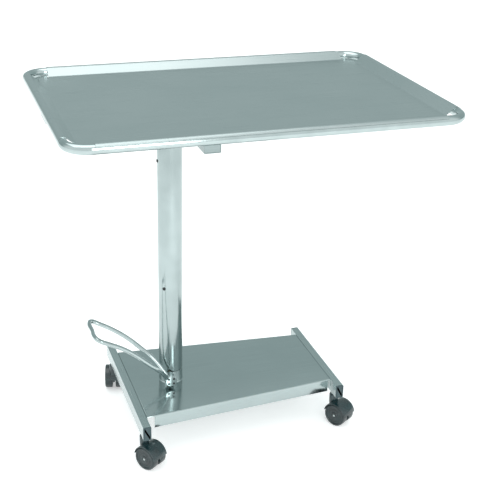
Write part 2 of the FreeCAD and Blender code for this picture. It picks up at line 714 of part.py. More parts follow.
def hub_cover():
    face = "-hub_back - hub_length"
    disc = cylinder("hub_radius - 0.5", "cover_thickness", "hub_x", face, "hub_z", X_AXIS, 90)
    holes = [cylinder("cover_screw_radius + 0.1", "cover_thickness", x, "%s - cover_thickness / 2" % face, z,
                      X_AXIS, 90)
             for x, z in cover_spots()]
    return cut(disc, *holes)


def cover_screws():
    """Four socket-head screws let into the hub's cover."""
    face = "-hub_back - hub_length - cover_thickness"
    screws = []
    for x, z in cover_spots():
        head = cylinder("cover_screw_radius", "cover_thickness / 2 + 0.6", x,
                        "%s + cover_thickness / 2" % face, z, X_AXIS, 90)
        socket = cylinder("cover_screw_radius * 0.62", "2", x, "%s + 1.2" % face, z, X_AXIS, 90)
        screws.append(cut(head, socket))
    return group(*screws)


def pedal_loop():
    """A round bar bent in space: up from the hub, splayed, round the foot end and back.

    Each station is (reach, rise, width) as a share of the loop's own; the bar is swept
    along a smooth curve through them, which no planar sketch can hold.
    """
    reach, rise, width = size("pedal_reach"), size("pedal_top"), size("pedal_width")
    hub_z, middle = size("hub_z"), -size("hub_back") - size("loop_set_off")
    start = size("hub_offset") + 6
    stations = [(0.0, 0.06, 0.12), (0.16, 0.29, 0.52), (0.33, 0.48, 0.72), (0.5, 0.66, 0.80),
                (0.68, 0.81, 0.87), (0.85, 0.92, 0.94), (0.96, 0.985, 0.93)]
    rear, front = [], []
    for share, height, part_width in stations:
        x = size("column_x") - start - share * (reach - start)
        z = hub_z + height * (rise - hub_z)
        rear.append(Vector(x, middle + part_width * width / 2, z))
        front.append(Vector(x, middle - part_width * width / 2, z - size("front_sag") * (1 - share) ** 2))
    tip_x, tip_z = size("column_x") - reach, rise
    nose = [Vector(tip_x, middle + width * 0.32, tip_z), Vector(tip_x, middle, tip_z),
            Vector(tip_x, middle - width * 0.32, tip_z)]
    path = Part.BSplineCurve()
    path.interpolate(rear + nose + front[::-1])
    start_point = path.value(path.FirstParameter)
    tangent = path.tangent(path.FirstParameter)[0]
    section = Part.Wire(Part.makeCircle(size("pedal_rod_radius"), start_point, tangent))
    bar = Part.Wire(path.toShape()).makePipeShell([section], True, False)
    hub_depth = size("hub_length") + size("cover_thickness") + size("loop_cover_gap")
    hub = Part.makeCylinder(size("hub_radius"), hub_depth, Vector(size("hub_x"), -size("hub_back"), hub_z),
                            Vector(0, -1, 0))
    feature = doc.addObject("Part::Feature", "Loop")
    feature.Shape = bar.cut(hub)
    return feature


# ---------------------------------------------------------------- castors
CASTORS = [("front_left", "member_x_left", "left_member_length", "-1"),
           ("front_right", "member_x_right", "right_member_length", "-1"),
           ("back_left", "member_x_left", "left_member_length", "1"),
           ("back_right", "member_x_right", "right_member_length", "1")]


def stem_y(length, sign):
    return "%s * (%s / 2 - stem_inset)" % (sign, length)


def swivelled(name, x, y, *pieces):
    """Turn pieces built about their own stem to the castor's place and resting direction."""
    holder = doc.addObject("Part::Compound", "Castor")
    holder.Links = list(pieces)
    return put(holder, x, y, "0", Z_AXIS, size("turn_" + name))


def castor_hood():
    """Mudguard over both wheels, the web between them, and the boss around the stem."""
    overall = "2 * wheel_width + web_thickness + 2 * wheel_side_gap"
    half = "(%s) / 2" % overall
    outer = "wheel_radius + hood_gap + hood_wall"
    inner = "wheel_radius + hood_gap"
    guard = cut(cylinder(outer, overall, "-(%s)" % half, "-castor_trail", "wheel_radius", Y_AXIS, 90),
                cylinder(inner, overall, "-(%s)" % half, "-castor_trail", "wheel_radius", Y_AXIS, 90),
                box("2 * (%s)" % overall, "4 * wheel_radius", "2 * wheel_radius + hood_skirt_rise", "0",
                    "-castor_trail",
                    "-wheel_radius"))
    disc = cylinder("%s + 0.5" % inner, "web_thickness", "-web_thickness / 2", "-castor_trail",
                    "wheel_radius", Y_AXIS, 90)
    web = cut(disc, box("web_thickness * 2", "4 * wheel_radius", "wheel_radius + 4", "0", "-castor_trail",
                        "-4"))
    ear = cylinder("4 * castor_axle_radius", "web_thickness", "-web_thickness / 2", "-castor_trail",
                   "wheel_radius", Y_AXIS, 90)
    top = "castor_height - collar_thickness - boss_gap"
    boss = cut(cylinder("boss_radius", "%s - wheel_radius" % top, "0", "0", "wheel_radius"),
               cylinder(inner, overall, "-(%s)" % half, "-castor_trail", "wheel_radius", Y_AXIS, 90),
               box("6 * boss_radius", "6 * boss_radius", "wheel_radius + hood_skirt_rise", "0", "0", "0"))
    pin_bore = cylinder("stem_radius + running_gap", "%s - 2 * wheel_radius + 6" % top, "0", "0",
                        "2 * wheel_radius - 5")
    axle_bore = cylinder("castor_axle_radius + running_gap", "2 * web_thickness", "-web_thickness",
                         "-castor_trail", "wheel_radius", Y_AXIS, 90)
    return cut(fuse(guard, web, ear, boss), pin_bore, axle_bore)


def castor_wheel(sign):
    """A dished disc with a rounded tread, turned about its own axle."""
    inner = "web_thickness / 2 + wheel_side_gap"
    body = doc.addObject("PartDesign::Body", "Body")
    points = [("castor_axle_radius", inner), ("wheel_radius - 3", inner),
              ("wheel_radius", "%s + 2.5" % inner),
              ("wheel_radius", "%s + wheel_width - 4" % inner),
              ("wheel_radius - 3.5", "%s + wheel_width" % inner),
              ("wheel_radius - 6", "%s + wheel_width" % inner),
              ("wheel_radius - 8", "%s + wheel_width - 2" % inner),
              ("9", "%s + wheel_width - 2" % inner), ("8", "%s + wheel_width" % inner),
              ("castor_axle_radius", "%s + wheel_width" % inner)]
    sketch = outline(body, "XZ_Plane", points)
    turn = body.newObject("PartDesign::Revolution", "Revolution")
    turn.Profile = sketch
    turn.ReferenceAxis = (sketch, ["V_Axis"])
    turn.Angle = 360
    return put(body, "0", "-castor_trail", "wheel_radius", Y_AXIS, 90 * sign)


def castor_axle():
    reach = "web_thickness / 2 + wheel_side_gap + wheel_width + 0.5"
    return cylinder("castor_axle_radius", "2 * (%s)" % reach, "-(%s)" % reach, "-castor_trail",
                    "wheel_radius", Y_AXIS, 90)


def castor_stem(x, y):
    """Threaded end in the socket, a round collar under the member, and the pin in the boss."""
    foot = "2 * wheel_radius + 2"
    collar = "castor_height - collar_thickness"
    top = "castor_height + socket_height - 2"
    return revolved([("0", foot), ("stem_radius", foot), ("stem_radius", collar), ("8.5", collar),
                     ("8.5", "castor_height"),
                     ("stem_radius", "castor_height"), ("stem_radius", top), ("0", top)], x, y)


def castor_sockets():
    sockets = []
    for _, x, length, sign in CASTORS:
        sockets.append(tube("socket_radius", "stem_radius", "socket_height", x, stem_y(length, sign),
                            "castor_height"))
    return group(*sockets)


# ---------------------------------------------------------------- the whole table
def build():
    part("tray_sheet", tray_sheet())
    part("tray_frame", tray_frame())
    part("rest_pads", rest_pads())
    part("cross_rail", cross_rail())
    part("long_beam_left", long_beam("-tray_length / 2 + beam_end_inset", "rail_x - rail_width / 2"))
    part("long_beam_right", long_beam("rail_x + rail_width / 2", "tray_length / 2 - beam_end_inset"))
    part("head_plate", head_plate())
    part("head_bolts", head_bolts())
    part("head_nuts", head_nuts())
    part("head_hub", head_hub())
    part("hub_lock_screw", hub_lock_screw())

    part("outer_column", outer_column())
    part("guide_screws", guide_screws())
    part("column_top_plug", column_top_plug())
    part("swivel_spindle", swivel_spindle())
    part("thrust_washer", tube("outer_radius - 1", "spindle_radius + 0.2", "washer_thickness", "column_x",
                               "0",
                               "column_top + plug_flange"))
    part("lower_guide_bush", lower_guide_bush())
    part("ram_rod", ram_rod())
    part("ram_piston", ram_piston())

    part("inner_column", inner_column())
    part("column_collar", column_collar())
    part("upper_guide_ring", upper_guide_ring())
    part("pump_block", pump_block())
    part("ram_cylinder", ram_cylinder())
    part("cylinder_gland", cylinder_gland())
    part("plunger_spring", plunger_spring())
    part("pump_plunger", pump_plunger())

    part("base_plate", base_plate())
    part("side_member_left", side_member("member_x_left", "left_member_length"))
    part("side_member_right", side_member("member_x_right", "right_member_length"))
    part("member_end_caps", member_end_caps())
    part("foot_flange", foot_flange())
    part("foot_studs", foot_studs())
    part("foot_nuts", foot_nuts())
    part("castor_sockets", castor_sockets())
    part("castor_stems", group(*[castor_stem(x, stem_y(length, sign)) for _, x, length, sign in CASTORS]))

    part("pedal_loop", pedal_loop())
    part("pedal_hub", pedal_hub())
    part("pedal_shaft", pedal_shaft())
    part("shaft_bush", shaft_bush())
    part("pump_crank", pump_crank())
    part("hub_cover", hub_cover())
    part("cover_screws", cover_screws())

    for name, x, length, sign in CASTORS:
        y = stem_y(length, sign)
        part("castor_hood_" + name, swivelled(name, x, y, castor_hood()))
        part("castor_axle_" + name, swivelled(name, x, y, castor_axle()))
        part("castor_wheel_a_" + name, swivelled(name, x, y, castor_wheel(1)))
        part("castor_wheel_b_" + name, swivelled(name, x, y, castor_wheel(-1)))


def check_and_write():
    doc.recompute()
    for obj in doc.Objects:
        if any(word in obj.State for word in ("Invalid", "Error")):
            raise RuntimeError("%s (%s) is %s" % (obj.Label, obj.TypeId, obj.State))
    for obj in PARTS:
        if obj.Shape.isNull() or not obj.Shape.isValid() or obj.Shape.Volume <= 0:
            raise RuntimeError("%s has no sound shape" % obj.Label)
        obj.Shape.exportStep("parts/%s.step" % obj.Label)


build()
check_and_write()
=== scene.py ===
# %% [markdown]
# # Overbed instrument table
# A stainless-steel table of the kind that reaches over a hospital bed: a sheet tray hooked over a
# round-tube frame, one polished lifting column with a foot pedal, and a low base plate on twin-wheel
# castors. This lesson models the visible pieces again with real edges, folds and finishes around it.

# %% Load the engineering model
import json
import math

import bmesh
import bpy
from mathutils import Matrix, Vector


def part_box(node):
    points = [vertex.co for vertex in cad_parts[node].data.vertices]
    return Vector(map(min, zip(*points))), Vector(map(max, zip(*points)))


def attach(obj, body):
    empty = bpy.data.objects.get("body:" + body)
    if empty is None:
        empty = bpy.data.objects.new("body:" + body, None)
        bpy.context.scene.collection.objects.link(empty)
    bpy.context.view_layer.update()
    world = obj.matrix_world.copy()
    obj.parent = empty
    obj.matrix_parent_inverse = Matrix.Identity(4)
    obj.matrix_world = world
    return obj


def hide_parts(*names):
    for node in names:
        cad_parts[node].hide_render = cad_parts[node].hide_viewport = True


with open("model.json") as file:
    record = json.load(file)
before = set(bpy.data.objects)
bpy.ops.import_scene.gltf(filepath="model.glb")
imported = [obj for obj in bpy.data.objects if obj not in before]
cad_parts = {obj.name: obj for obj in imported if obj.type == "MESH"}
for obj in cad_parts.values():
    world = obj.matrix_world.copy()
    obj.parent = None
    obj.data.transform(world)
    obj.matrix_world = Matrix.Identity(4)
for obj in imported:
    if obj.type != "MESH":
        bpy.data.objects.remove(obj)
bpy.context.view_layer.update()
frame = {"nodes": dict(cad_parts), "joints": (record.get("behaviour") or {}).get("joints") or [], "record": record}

# %% [markdown]
# ## Small tools for modelling
# A modifier key, a mouse and a window are not there, so each step first empties the selection, then
# picks points, edges or faces by where they are, and only then calls the operator. These few helpers
# keep that routine in one place.

# %% Selecting and editing
MM = 0.001
NEAR = 0.00001  # two places this close, in metres, count as one
CORNERS = ((-1, -1), (-1, 1), (1, -1), (1, 1))


def nothing_selected():
    """Back to object mode, with nothing selected."""
    if bpy.context.object and bpy.context.object.mode != "OBJECT":
        bpy.ops.object.mode_set(mode="OBJECT")
    bpy.ops.object.select_all(action="DESELECT")


def select_only(piece):
    """The same, and then one object selected and active."""
    nothing_selected()
    piece.select_set(True)
    bpy.context.view_layer.objects.active = piece


def start_edit(piece):
    select_only(piece)
    bpy.ops.object.mode_set(mode="EDIT")
    bpy.ops.mesh.select_all(action="DESELECT")


def end_edit():
    bpy.ops.object.mode_set(mode="OBJECT")


def pick(piece, kind, test):
    """In edit mode, select the points, edges or faces that pass a test, and say how many did."""
    bpy.ops.mesh.select_mode(type=kind)
    bpy.ops.mesh.select_all(action="DESELECT")
    shape = bmesh.from_edit_mesh(piece.data)
    items = {"VERT": shape.verts, "EDGE": shape.edges, "FACE": shape.faces}[kind]
    chosen = [item for item in items if test(item)]
    for item in chosen:
        item.select_set(True)
    shape.select_flush_mode()
    bmesh.update_edit_mesh(piece.data)
    return len(chosen)


def middle(edge):
    return (edge.verts[0].co + edge.verts[1].co) / 2


def direction(edge):
    return (edge.verts[1].co - edge.verts[0].co).normalized()


def tidy_normals(piece):
    """Merge doubled points and turn every face outwards."""
    start_edit(piece)
    bpy.ops.mesh.select_all(action="SELECT")
    bpy.ops.mesh.remove_doubles(threshold=NEAR)
    bpy.ops.mesh.normals_make_consistent(inside=False)
    end_edit()


def modify(piece, kind, **settings):
    """Add a modifier, set it, and apply it at once."""
    select_only(piece)
    modifier = piece.modifiers.new(kind.title(), kind)
    for name, value in settings.items():
        setattr(modifier, name, value)
    bpy.ops.object.modifier_apply(modifier=modifier.name)


def soften(piece, width, segments=3, angle=30):
    """Round the sharp edges, as a file, a tumbler or a mould radius leaves them."""
    modify(piece, "BEVEL", width=width, segments=segments, limit_method="ANGLE",
           angle_limit=math.radians(angle), harden_normals=False)


# %% [markdown]
# A finished piece keeps its place in its mesh and its object at the origin. `finish` does that, shades
# the piece smooth with crisp corners, gives it its finish, and ties it to the body it moves with.

# %% Finished pieces, copies and joins
def settle(piece):
    select_only(piece)
    bpy.ops.object.transform_apply(location=True, rotation=True, scale=True)


def finish(piece, name, body, slot, material, *nodes):
    settle(piece)
    select_only(piece)
    bpy.ops.object.shade_smooth_by_angle(angle=math.radians(35))
    piece.name = name
    piece.data.name = name
    piece.data.materials.clear()
    piece.data.materials.append(material)
    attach(piece, body)
    if nodes:
        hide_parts(*nodes)
    print("made", name, "with", len(piece.data.polygons), "faces")
    return piece


def copy_of(piece):
    """A second piece with a mesh of its own."""
    twin = piece.copy()
    twin.data = piece.data.copy()
    bpy.context.scene.collection.objects.link(twin)
    return twin


def join(first, *others):
    select_only(first)
    for other in others:
        other.select_set(True)
    bpy.ops.object.join()
    return first


# %% [markdown]
# Two ways of making a piece come up again and again. A block starts as a cube and has chosen edges
# rounded. A turned piece starts as one point that is extruded along its profile, like a lathe drawing,
# and is then spun about its axis.

# %% Blocks and turned pieces
def block(low, high):
    """A cube primitive stretched between two corners."""
    nothing_selected()
    low, high = Vector(low), Vector(high)
    bpy.ops.mesh.primitive_cube_add(size=1, location=(low + high) / 2)
    piece = bpy.context.object
    piece.scale = high - low
    settle(piece)
    return piece


def sweep(angle, centre, axis, steps):
    """Spin what is selected. The operator turns clockwise about its axis, so the angle is negated."""
    bpy.ops.mesh.spin(steps=steps, angle=-angle, center=centre, axis=axis)


def chain(points):
    """A line of points: one vertex, extruded from place to place."""
    nothing_selected()
    bpy.ops.mesh.primitive_plane_add(size=0.001)
    piece = bpy.context.object
    start_edit(piece)
    bpy.ops.mesh.select_mode(type="VERT")
    bpy.ops.mesh.select_all(action="SELECT")
    bpy.ops.mesh.merge(type="CENTER")
    here = Vector(points[0])
    bpy.ops.transform.translate(value=here)
    for point in points[1:]:
        step = Vector(point) - here
        bpy.ops.mesh.extrude_vertices_move(TRANSFORM_OT_translate={"value": step})
        here = Vector(point)
    end_edit()
    return piece


def turned(profile, centre, axis=(0, 0, 1), steps=64, closed=True):
    """Spin a profile of (radius, height) points once round an axis through centre."""
    points = [(radius, 0, height) for radius, height in profile]
    if closed:
        points.append(points[0])
    piece = chain(points)
    start_edit(piece)
    bpy.ops.mesh.select_all(action="SELECT")
    sweep(2 * math.pi, (0, 0, 0), (0, 0, 1), steps)
    end_edit()
    tidy_normals(piece)
    piece.rotation_mode = "QUATERNION"
    piece.rotation_quaternion = Vector((0, 0, 1)).rotation_difference(Vector(axis))
    piece.location = centre
    settle(piece)
    return piece


# %% [markdown]
# ## Finishes
# Everything visible is either stainless steel or dark moulded plastic, so the table is told apart by
# how each surface was worked. Colours are written as the hex values a paint chart would give and
# turned to linear light by one function.

# %% Nodes and colours
def linear(hex_value):
    """An sRGB hex colour as linear red, green, blue and alpha."""
    parts = [int(hex_value[i:i + 2], 16) / 255 for i in (0, 2, 4)]
    return [c / 12.92 if c <= 0.04045 else ((c + 0.055) / 1.055) ** 2.4 for c in parts] + [1.0]


def add_node(tree, kind, links=None, inputs=None, stops=(), **settings):
    """Add one node, with its settings, its input values and what is plugged into it.

    A colour ramp also gets its stops, as pairs of a position and a hex colour.
    """
    node = tree.nodes.new(kind)
    for name, value in settings.items():
        setattr(node, name, value)
    for name, value in (inputs or {}).items():
        node.inputs[name].default_value = value
    for name, socket in (links or {}).items():
        tree.links.new(socket, node.inputs[name])
    if stops:
        elements = node.color_ramp.elements
        while len(elements) < len(stops):
            elements.new(0.5)
        for element, (position, colour) in zip(elements, stops):
            element.position = position
            element.color = linear(colour)
    return node


def new_finish(name, **shader_values):
    material = bpy.data.materials.new(name)
    material.use_nodes = True
    tree = material.node_tree
    shader = tree.nodes["Principled BSDF"]
    for socket, value in shader_values.items():
        shader.inputs[socket.replace("_", " ")].default_value = value
    return material, tree, shader


NOISE_LOW, NOISE_HIGH = 0.3, 0.7  # most of a noise lies between these two values


def dress(tree, shader, patterns, tones, blurs, strength, depth):
    """Let three patterns drive the shader: one its colour, one its blur, one its relief."""
    tone, shine, relief = patterns
    colour = add_node(tree, "ShaderNodeValToRGB", {"Fac": tone},
                      stops=((NOISE_LOW, tones[0]), (NOISE_HIGH, tones[1])))
    roughness = add_node(tree, "ShaderNodeMapRange", {"Value": shine},
                         {"From Min": NOISE_LOW, "From Max": NOISE_HIGH,
                          "To Min": blurs[0], "To Max": blurs[1]})
    bump = add_node(tree, "ShaderNodeBump", {"Height": relief},
                    {"Strength": strength, "Distance": depth})
    tree.links.new(colour.outputs["Color"], shader.inputs["Base Color"])
    tree.links.new(roughness.outputs["Result"], shader.inputs["Roughness"])
    tree.links.new(bump.outputs["Normal"], shader.inputs["Normal"])


# %% [markdown]
# Satin sheet: cold-rolled stainless with a fine brushed grain. The real grain is about 0.3 mm wide,
# too fine to show at this distance, so it is drawn 2 mm wide and 150 mm long; it blurs what the sheet
# mirrors and gives the eye its even, cool grey-green. A noise that is squeezed across the grain makes
# the lines, and a second one, with clouds 200 mm across, keeps large faces from looking painted.

# %% Brushed stainless
CLOUDS_PER_METRE = 5.0


def brushed_stainless(name, tone_low, tone_high, blur, along="x", grain_width=2 * MM,
                      grain_length=150 * MM):
    material, tree, shader = new_finish(name, Metallic=1.0)
    fine, coarse = 1 / grain_width, 1 / grain_length
    stretch = {"x": (coarse, fine, fine), "y": (fine, coarse, fine), "z": (fine, fine, coarse)}[along]
    place = add_node(tree, "ShaderNodeTexCoord").outputs["Object"]
    squeezed = add_node(tree, "ShaderNodeMapping", {"Vector": place}, {"Scale": stretch})
    grain = add_node(tree, "ShaderNodeTexNoise", {"Vector": squeezed.outputs["Vector"]},
                     {"Scale": 1.0, "Detail": 2.0, "Roughness": 0.5}).outputs["Fac"]
    cloud = add_node(tree, "ShaderNodeTexNoise", {"Vector": place},
                     {"Scale": CLOUDS_PER_METRE, "Detail": 3.0, "Roughness": 0.5}).outputs["Fac"]
    mixed = add_node(tree, "ShaderNodeMix", {"A": grain, "B": cloud}, {"Factor": 0.5})
    dress(tree, shader, (mixed.outputs["Result"], grain, grain), (tone_low, tone_high),
          (blur * 0.85, blur * 1.15), 0.5, 0.02 * MM)
    return material


# %% [markdown]
# Polished steel is buffed to a mirror. Two things tell it from a perfect mirror: polishing streaks
# along the piece, which change the blur a little, and the slow waves of drawn tube, some 45 mm from
# crest to crest, which bend reflections. Real streaks are finer than a hair; they are drawn 2 mm wide.

# %% Polished stainless
STREAKS_ACROSS, STREAKS_ALONG, WAVES_PER_METRE = 500, 6, 22.0


def polished_stainless(name, tone_low, tone_high, blur, along="z", wave=0.04 * MM):
    material, tree, shader = new_finish(name, Metallic=1.0)
    stretch = {"x": (STREAKS_ALONG, STREAKS_ACROSS, STREAKS_ACROSS),
               "z": (STREAKS_ACROSS, STREAKS_ACROSS, STREAKS_ALONG)}[along]
    place = add_node(tree, "ShaderNodeTexCoord").outputs["Object"]
    squeezed = add_node(tree, "ShaderNodeMapping", {"Vector": place}, {"Scale": stretch})
    streaks = add_node(tree, "ShaderNodeTexNoise", {"Vector": squeezed.outputs["Vector"]},
                       {"Scale": 1.0, "Detail": 2.0, "Roughness": 0.5}).outputs["Fac"]
    waves = add_node(tree, "ShaderNodeTexNoise", {"Vector": place},
                     {"Scale": WAVES_PER_METRE, "Detail": 1.0, "Roughness": 0.5}).outputs["Fac"]
    dress(tree, shader, (waves, streaks, waves), (tone_low, tone_high), (blur * 0.7, blur * 1.4),
          1.0, wave)
    return material


# %% [markdown]
# Injection-moulded nylon has the skin of its mould, a fine spark-eroded grit, drawn 0.8 mm coarse so
# that it shows, over a colour that shifts every 25 mm or so where the plastic flowed. A coat stands
# for the shine that hands and floor cleaner leave on it.

# %% Moulded plastic
FLOWS_PER_METRE = 40.0


def moulded_plastic(name, tone_low, tone_high, blur, grit=0.8 * MM, coat=0.0):
    material, tree, shader = new_finish(name, Metallic=0.0, IOR=1.53, Coat_Weight=coat,
                                        Coat_Roughness=0.12)
    place = add_node(tree, "ShaderNodeTexCoord").outputs["Object"]
    skin = add_node(tree, "ShaderNodeTexNoise", {"Vector": place},
                    {"Scale": 1 / grit, "Detail": 2.0, "Roughness": 0.5}).outputs["Fac"]
    flow = add_node(tree, "ShaderNodeTexNoise", {"Vector": place},
                    {"Scale": FLOWS_PER_METRE, "Detail": 2.0, "Roughness": 0.5}).outputs["Fac"]
    dress(tree, shader, (flow, skin, skin), (tone_low, tone_high), (blur * 0.85, blur * 1.2), 0.6,
          0.03 * MM)
    return material


# %% [markdown]
# The finishes themselves. Each has two close tones and one blur, and the comment over it says what the
# eye gets from it.

# %% The table's finishes
# even and cool, with soft mirror images: the tray, and the plate, which was left as it was rolled
SATIN_SHEET = brushed_stainless("satin_stainless_sheet", "aab6b6", "b4bebe", 0.32)
BASE_SHEET = brushed_stainless("mill_finish_stainless_sheet", "a6b2b2", "b0bcbc", 0.15)
# a grain along the box tube, and a darker, duller steel for the carrier under the tray
MEMBER_STEEL = brushed_stainless("brushed_stainless_box_tube", "a8b4b4", "b6c2c2", 0.24, along="y")
CARRIER_STEEL = brushed_stainless("brushed_steel_carrier", "8e9a9a", "9aa6a6", 0.35)
# clear streaks on the column, sharper ones on the frame and on the pedal's bar
# the column's tube steel is toned darker than real stainless: painted shade, so that what it mirrors comes out
# grey
MIRROR_TUBE_PAINTED_DIM = polished_stainless("polished_tube_painted_dim", "a2aeae", "acb8b8", 0.16)
MIRROR_FRAME = polished_stainless("polished_frame_tube", "aab6b6", "b6c2c2", 0.1, along="x",
                                  wave=0.01 * MM)
MIRROR_ROD = polished_stainless("polished_round_bar", "a8b4b4", "b4c0c0", 0.1, along="x",
                                wave=0.01 * MM)
# working steel: ground bright, plated dull and bluish, or blackened in oxide
GROUND_STEEL = polished_stainless("ground_steel", "a8b0b0", "b6bebe", 0.22)
ZINC_STEEL = polished_stainless("zinc_plated_steel", "9aa4a6", "aab4b6", 0.3)
BLACK_OXIDE = moulded_plastic("black_oxide_steel", "101616", "1a2222", 0.4)
# near black with a green cast: shiny hoods, duller treads, grey caps
CASTOR_NYLON = moulded_plastic("moulded_black_nylon", "0b2124", "123034", 0.26, coat=0.5)
TREAD_NYLON = moulded_plastic("moulded_tread_nylon", "091c1f", "102a2d", 0.34, coat=0.25)
CAP_NYLON = moulded_plastic("moulded_cap_nylon", "33464a", "3d5256", 0.42)
# dead matt rubber, milky acetal and warm porous bronze, seen only when the table is opened
PAD_RUBBER = moulded_plastic("black_rubber", "151717", "1e2020", 0.7, grit=1.2 * MM)
ACETAL = moulded_plastic("natural_acetal", "d6d6cf", "e0e0da", 0.35)
BRONZE = brushed_stainless("sintered_bronze", "a9824a", "b98f55", 0.45, grain_width=1 * MM,
                           grain_length=1 * MM)
print("finishes:", len(bpy.data.materials))

# %% [markdown]
# ## Leading sizes
# Places and outer sizes come from the boxes of the engineering model's own pieces. Small radii, walls
# and gaps, which a box can't tell, are given where they are used.

# %% Leading sizes
def box_of(node):
    """The low and high corner of an engineering piece, and its middle."""
    low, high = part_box(node)
    return low, high, (low + high) / 2


frame_low, frame_high, frame_centre = box_of("tray_frame")
TUBE_RADIUS = (frame_high.z - frame_low.z) / 2
FRAME_BEND = 50 * MM
AXIS_X = frame_high.x - TUBE_RADIUS
AXIS_Y = frame_high.y - TUBE_RADIUS
TUBE_HEIGHT = frame_centre.z
column_low, column_high, column_centre = box_of("outer_column")
COLUMN_X = column_centre.x
COLUMN_RADIUS = (column_high.x - column_low.x) / 2
print("tray axis half sizes", AXIS_X, AXIS_Y, "column at", COLUMN_X)

# %% [markdown]
# ## Tray frame
# One length of 22 mm tube, bent at four corners and welded into a loop. A circle is extruded along
# each straight and spun through each bend, which is how the bender makes it, so the bends stay true.

# %% Frame tube
def frame_tube():
    straight_x = AXIS_X - FRAME_BEND
    straight_y = AXIS_Y - FRAME_BEND
    nothing_selected()
    bpy.ops.mesh.primitive_circle_add(vertices=40, radius=TUBE_RADIUS, fill_type="NOTHING",
                                      location=(-straight_x, -AXIS_Y, TUBE_HEIGHT),
                                      rotation=(0, math.pi / 2, 0))
    piece = bpy.context.object
    settle(piece)
    runs = [((2 * straight_x, 0, 0), (straight_x, -straight_y)),
            ((0, 2 * straight_y, 0), (straight_x, straight_y)),
            ((-2 * straight_x, 0, 0), (-straight_x, straight_y)),
            ((0, -2 * straight_y, 0), (-straight_x, -straight_y))]
    start_edit(piece)
    bpy.ops.mesh.select_all(action="SELECT")
    for run, corner in runs:
        bpy.ops.mesh.extrude_region_move(TRANSFORM_OT_translate={"value": run})
        sweep(math.pi / 2, (*corner, TUBE_HEIGHT), (0, 0, 1), 16)
    end_edit()
    tidy_normals(piece)
    return finish(piece, "frame_tube", "head", "polished_tube", MIRROR_FRAME, "tray_frame")


frame_tube()

# %% [markdown]
# ## Sheet tray
# The tray is one folded sheet. Its floor stops short of the frame; each side has a flange that slopes
# up to the tube and hooks over it. A plane is cut along the fold lines, the corners are rounded, each
# flange edge is extruded up the slope and then spun about the tube, and a Solidify gives the sheet
# its thickness. The ends of the hooks are cut back aslant, as a folder has to.

# %% Sizes of the sheet tray
SHEET = 1.2 * MM
HOOK_GAP = 0.3 * MM
HOOK_RADIUS = TUBE_RADIUS + HOOK_GAP + SHEET
SLOPE = math.radians(37)
HOOK_TURN = math.radians(52)
FLANGE_GAP = 66 * MM
HOOK_CUT = 26 * MM
CORNER_GAP = 3 * MM
RELIEF = 2 * MM
FOLD_RADIUS = 2.5 * MM
FLOOR = frame["record"]["mounts"][0]["pos_m"][2]
CREST_DROP = HOOK_RADIUS * math.cos(SLOPE) - (FLOOR - TUBE_HEIGHT)
FOOT = HOOK_RADIUS * math.sin(SLOPE) + CREST_DROP / math.tan(SLOPE)
FLOOR_X, FLOOR_Y = frame_high.x, frame_high.y
FOOT_X, FOOT_Y = AXIS_X - FOOT, AXIS_Y - FOOT
END_X, END_Y = FLOOR_X - FLANGE_GAP, FLOOR_Y - FLANGE_GAP
print("floor at", FLOOR, "fold lines at", FOOT_X, FOOT_Y)


def cut_plane(place, normal):
    bpy.ops.mesh.select_all(action="SELECT")
    bpy.ops.mesh.bisect(plane_co=place, plane_no=normal)


# %% Flat blank of the tray
def tray_blank():
    """A flat sheet with round corners, cut along the fold lines and open at its four corners."""
    reach = 2 * TUBE_RADIUS + CORNER_GAP
    nothing_selected()
    bpy.ops.mesh.primitive_plane_add(size=1, location=(0, 0, FLOOR))
    piece = bpy.context.object
    piece.scale = (2 * (FLOOR_X - reach), 2 * (FLOOR_Y - reach), 1)
    settle(piece)
    start_edit(piece)
    bpy.ops.mesh.select_all(action="SELECT")
    bpy.ops.mesh.bevel(offset=FRAME_BEND - TUBE_RADIUS - CORNER_GAP, segments=10, affect="VERTICES")
    for sign in (-1, 1):
        for place in (END_X, END_X + RELIEF, FOOT_X):
            cut_plane((sign * place, 0, FLOOR), (1, 0, 0))
        for place in (END_Y, END_Y + RELIEF, FOOT_Y):
            cut_plane((0, sign * place, FLOOR), (0, 1, 0))

    def outside(face):
        spot = face.calc_center_median()
        front = abs(spot.y) > FOOT_Y and abs(spot.x) < END_X + RELIEF
        side = abs(spot.x) > FOOT_X and abs(spot.y) < END_Y + RELIEF
        return front or side

    pick(piece, "FACE", outside)
    bpy.ops.mesh.delete(type="FACE")
    end_edit()
    return piece


# %% [markdown]
# Each fold line is extruded up the slope to the crest and then spun about the tube's axis, as the
# folder turns it. The hook ends are cut by a slanting plane, which acts on the hook's faces alone.

# %% Flanges and hooks
def fold_flanges(piece):
    """Raise the four flanges and hook them over the tube."""
    rise = HOOK_RADIUS * math.cos(SLOPE) + TUBE_HEIGHT - FLOOR
    slope_run = FOOT - HOOK_RADIUS * math.sin(SLOPE)
    start_edit(piece)
    for along, sign in (("y", -1), ("y", 1), ("x", -1), ("x", 1)):
        if along == "y":
            fold = pick(piece, "EDGE", lambda e: abs(middle(e).y - sign * FOOT_Y) < NEAR
                        and abs(direction(e).x) > 0.99 and abs(middle(e).x) < END_X)
            outward = Vector((0, sign, 0))
            pivot, spin_axis = (0, sign * AXIS_Y, TUBE_HEIGHT), (1, 0, 0)
        else:
            fold = pick(piece, "EDGE", lambda e: abs(middle(e).x - sign * FOOT_X) < NEAR
                        and abs(direction(e).y) > 0.99 and abs(middle(e).y) < END_Y)
            outward = Vector((sign, 0, 0))
            pivot, spin_axis = (sign * AXIS_X, 0, TUBE_HEIGHT), (0, -1, 0)
        step = outward * slope_run + Vector((0, 0, rise))
        bpy.ops.mesh.extrude_edges_move(TRANSFORM_OT_translate={"value": step})
        sweep(-sign * (SLOPE + HOOK_TURN), pivot, spin_axis, 10)
        print("flange", along, sign, "folded along", fold, "edges")
    end_edit()
    tidy_normals(piece)


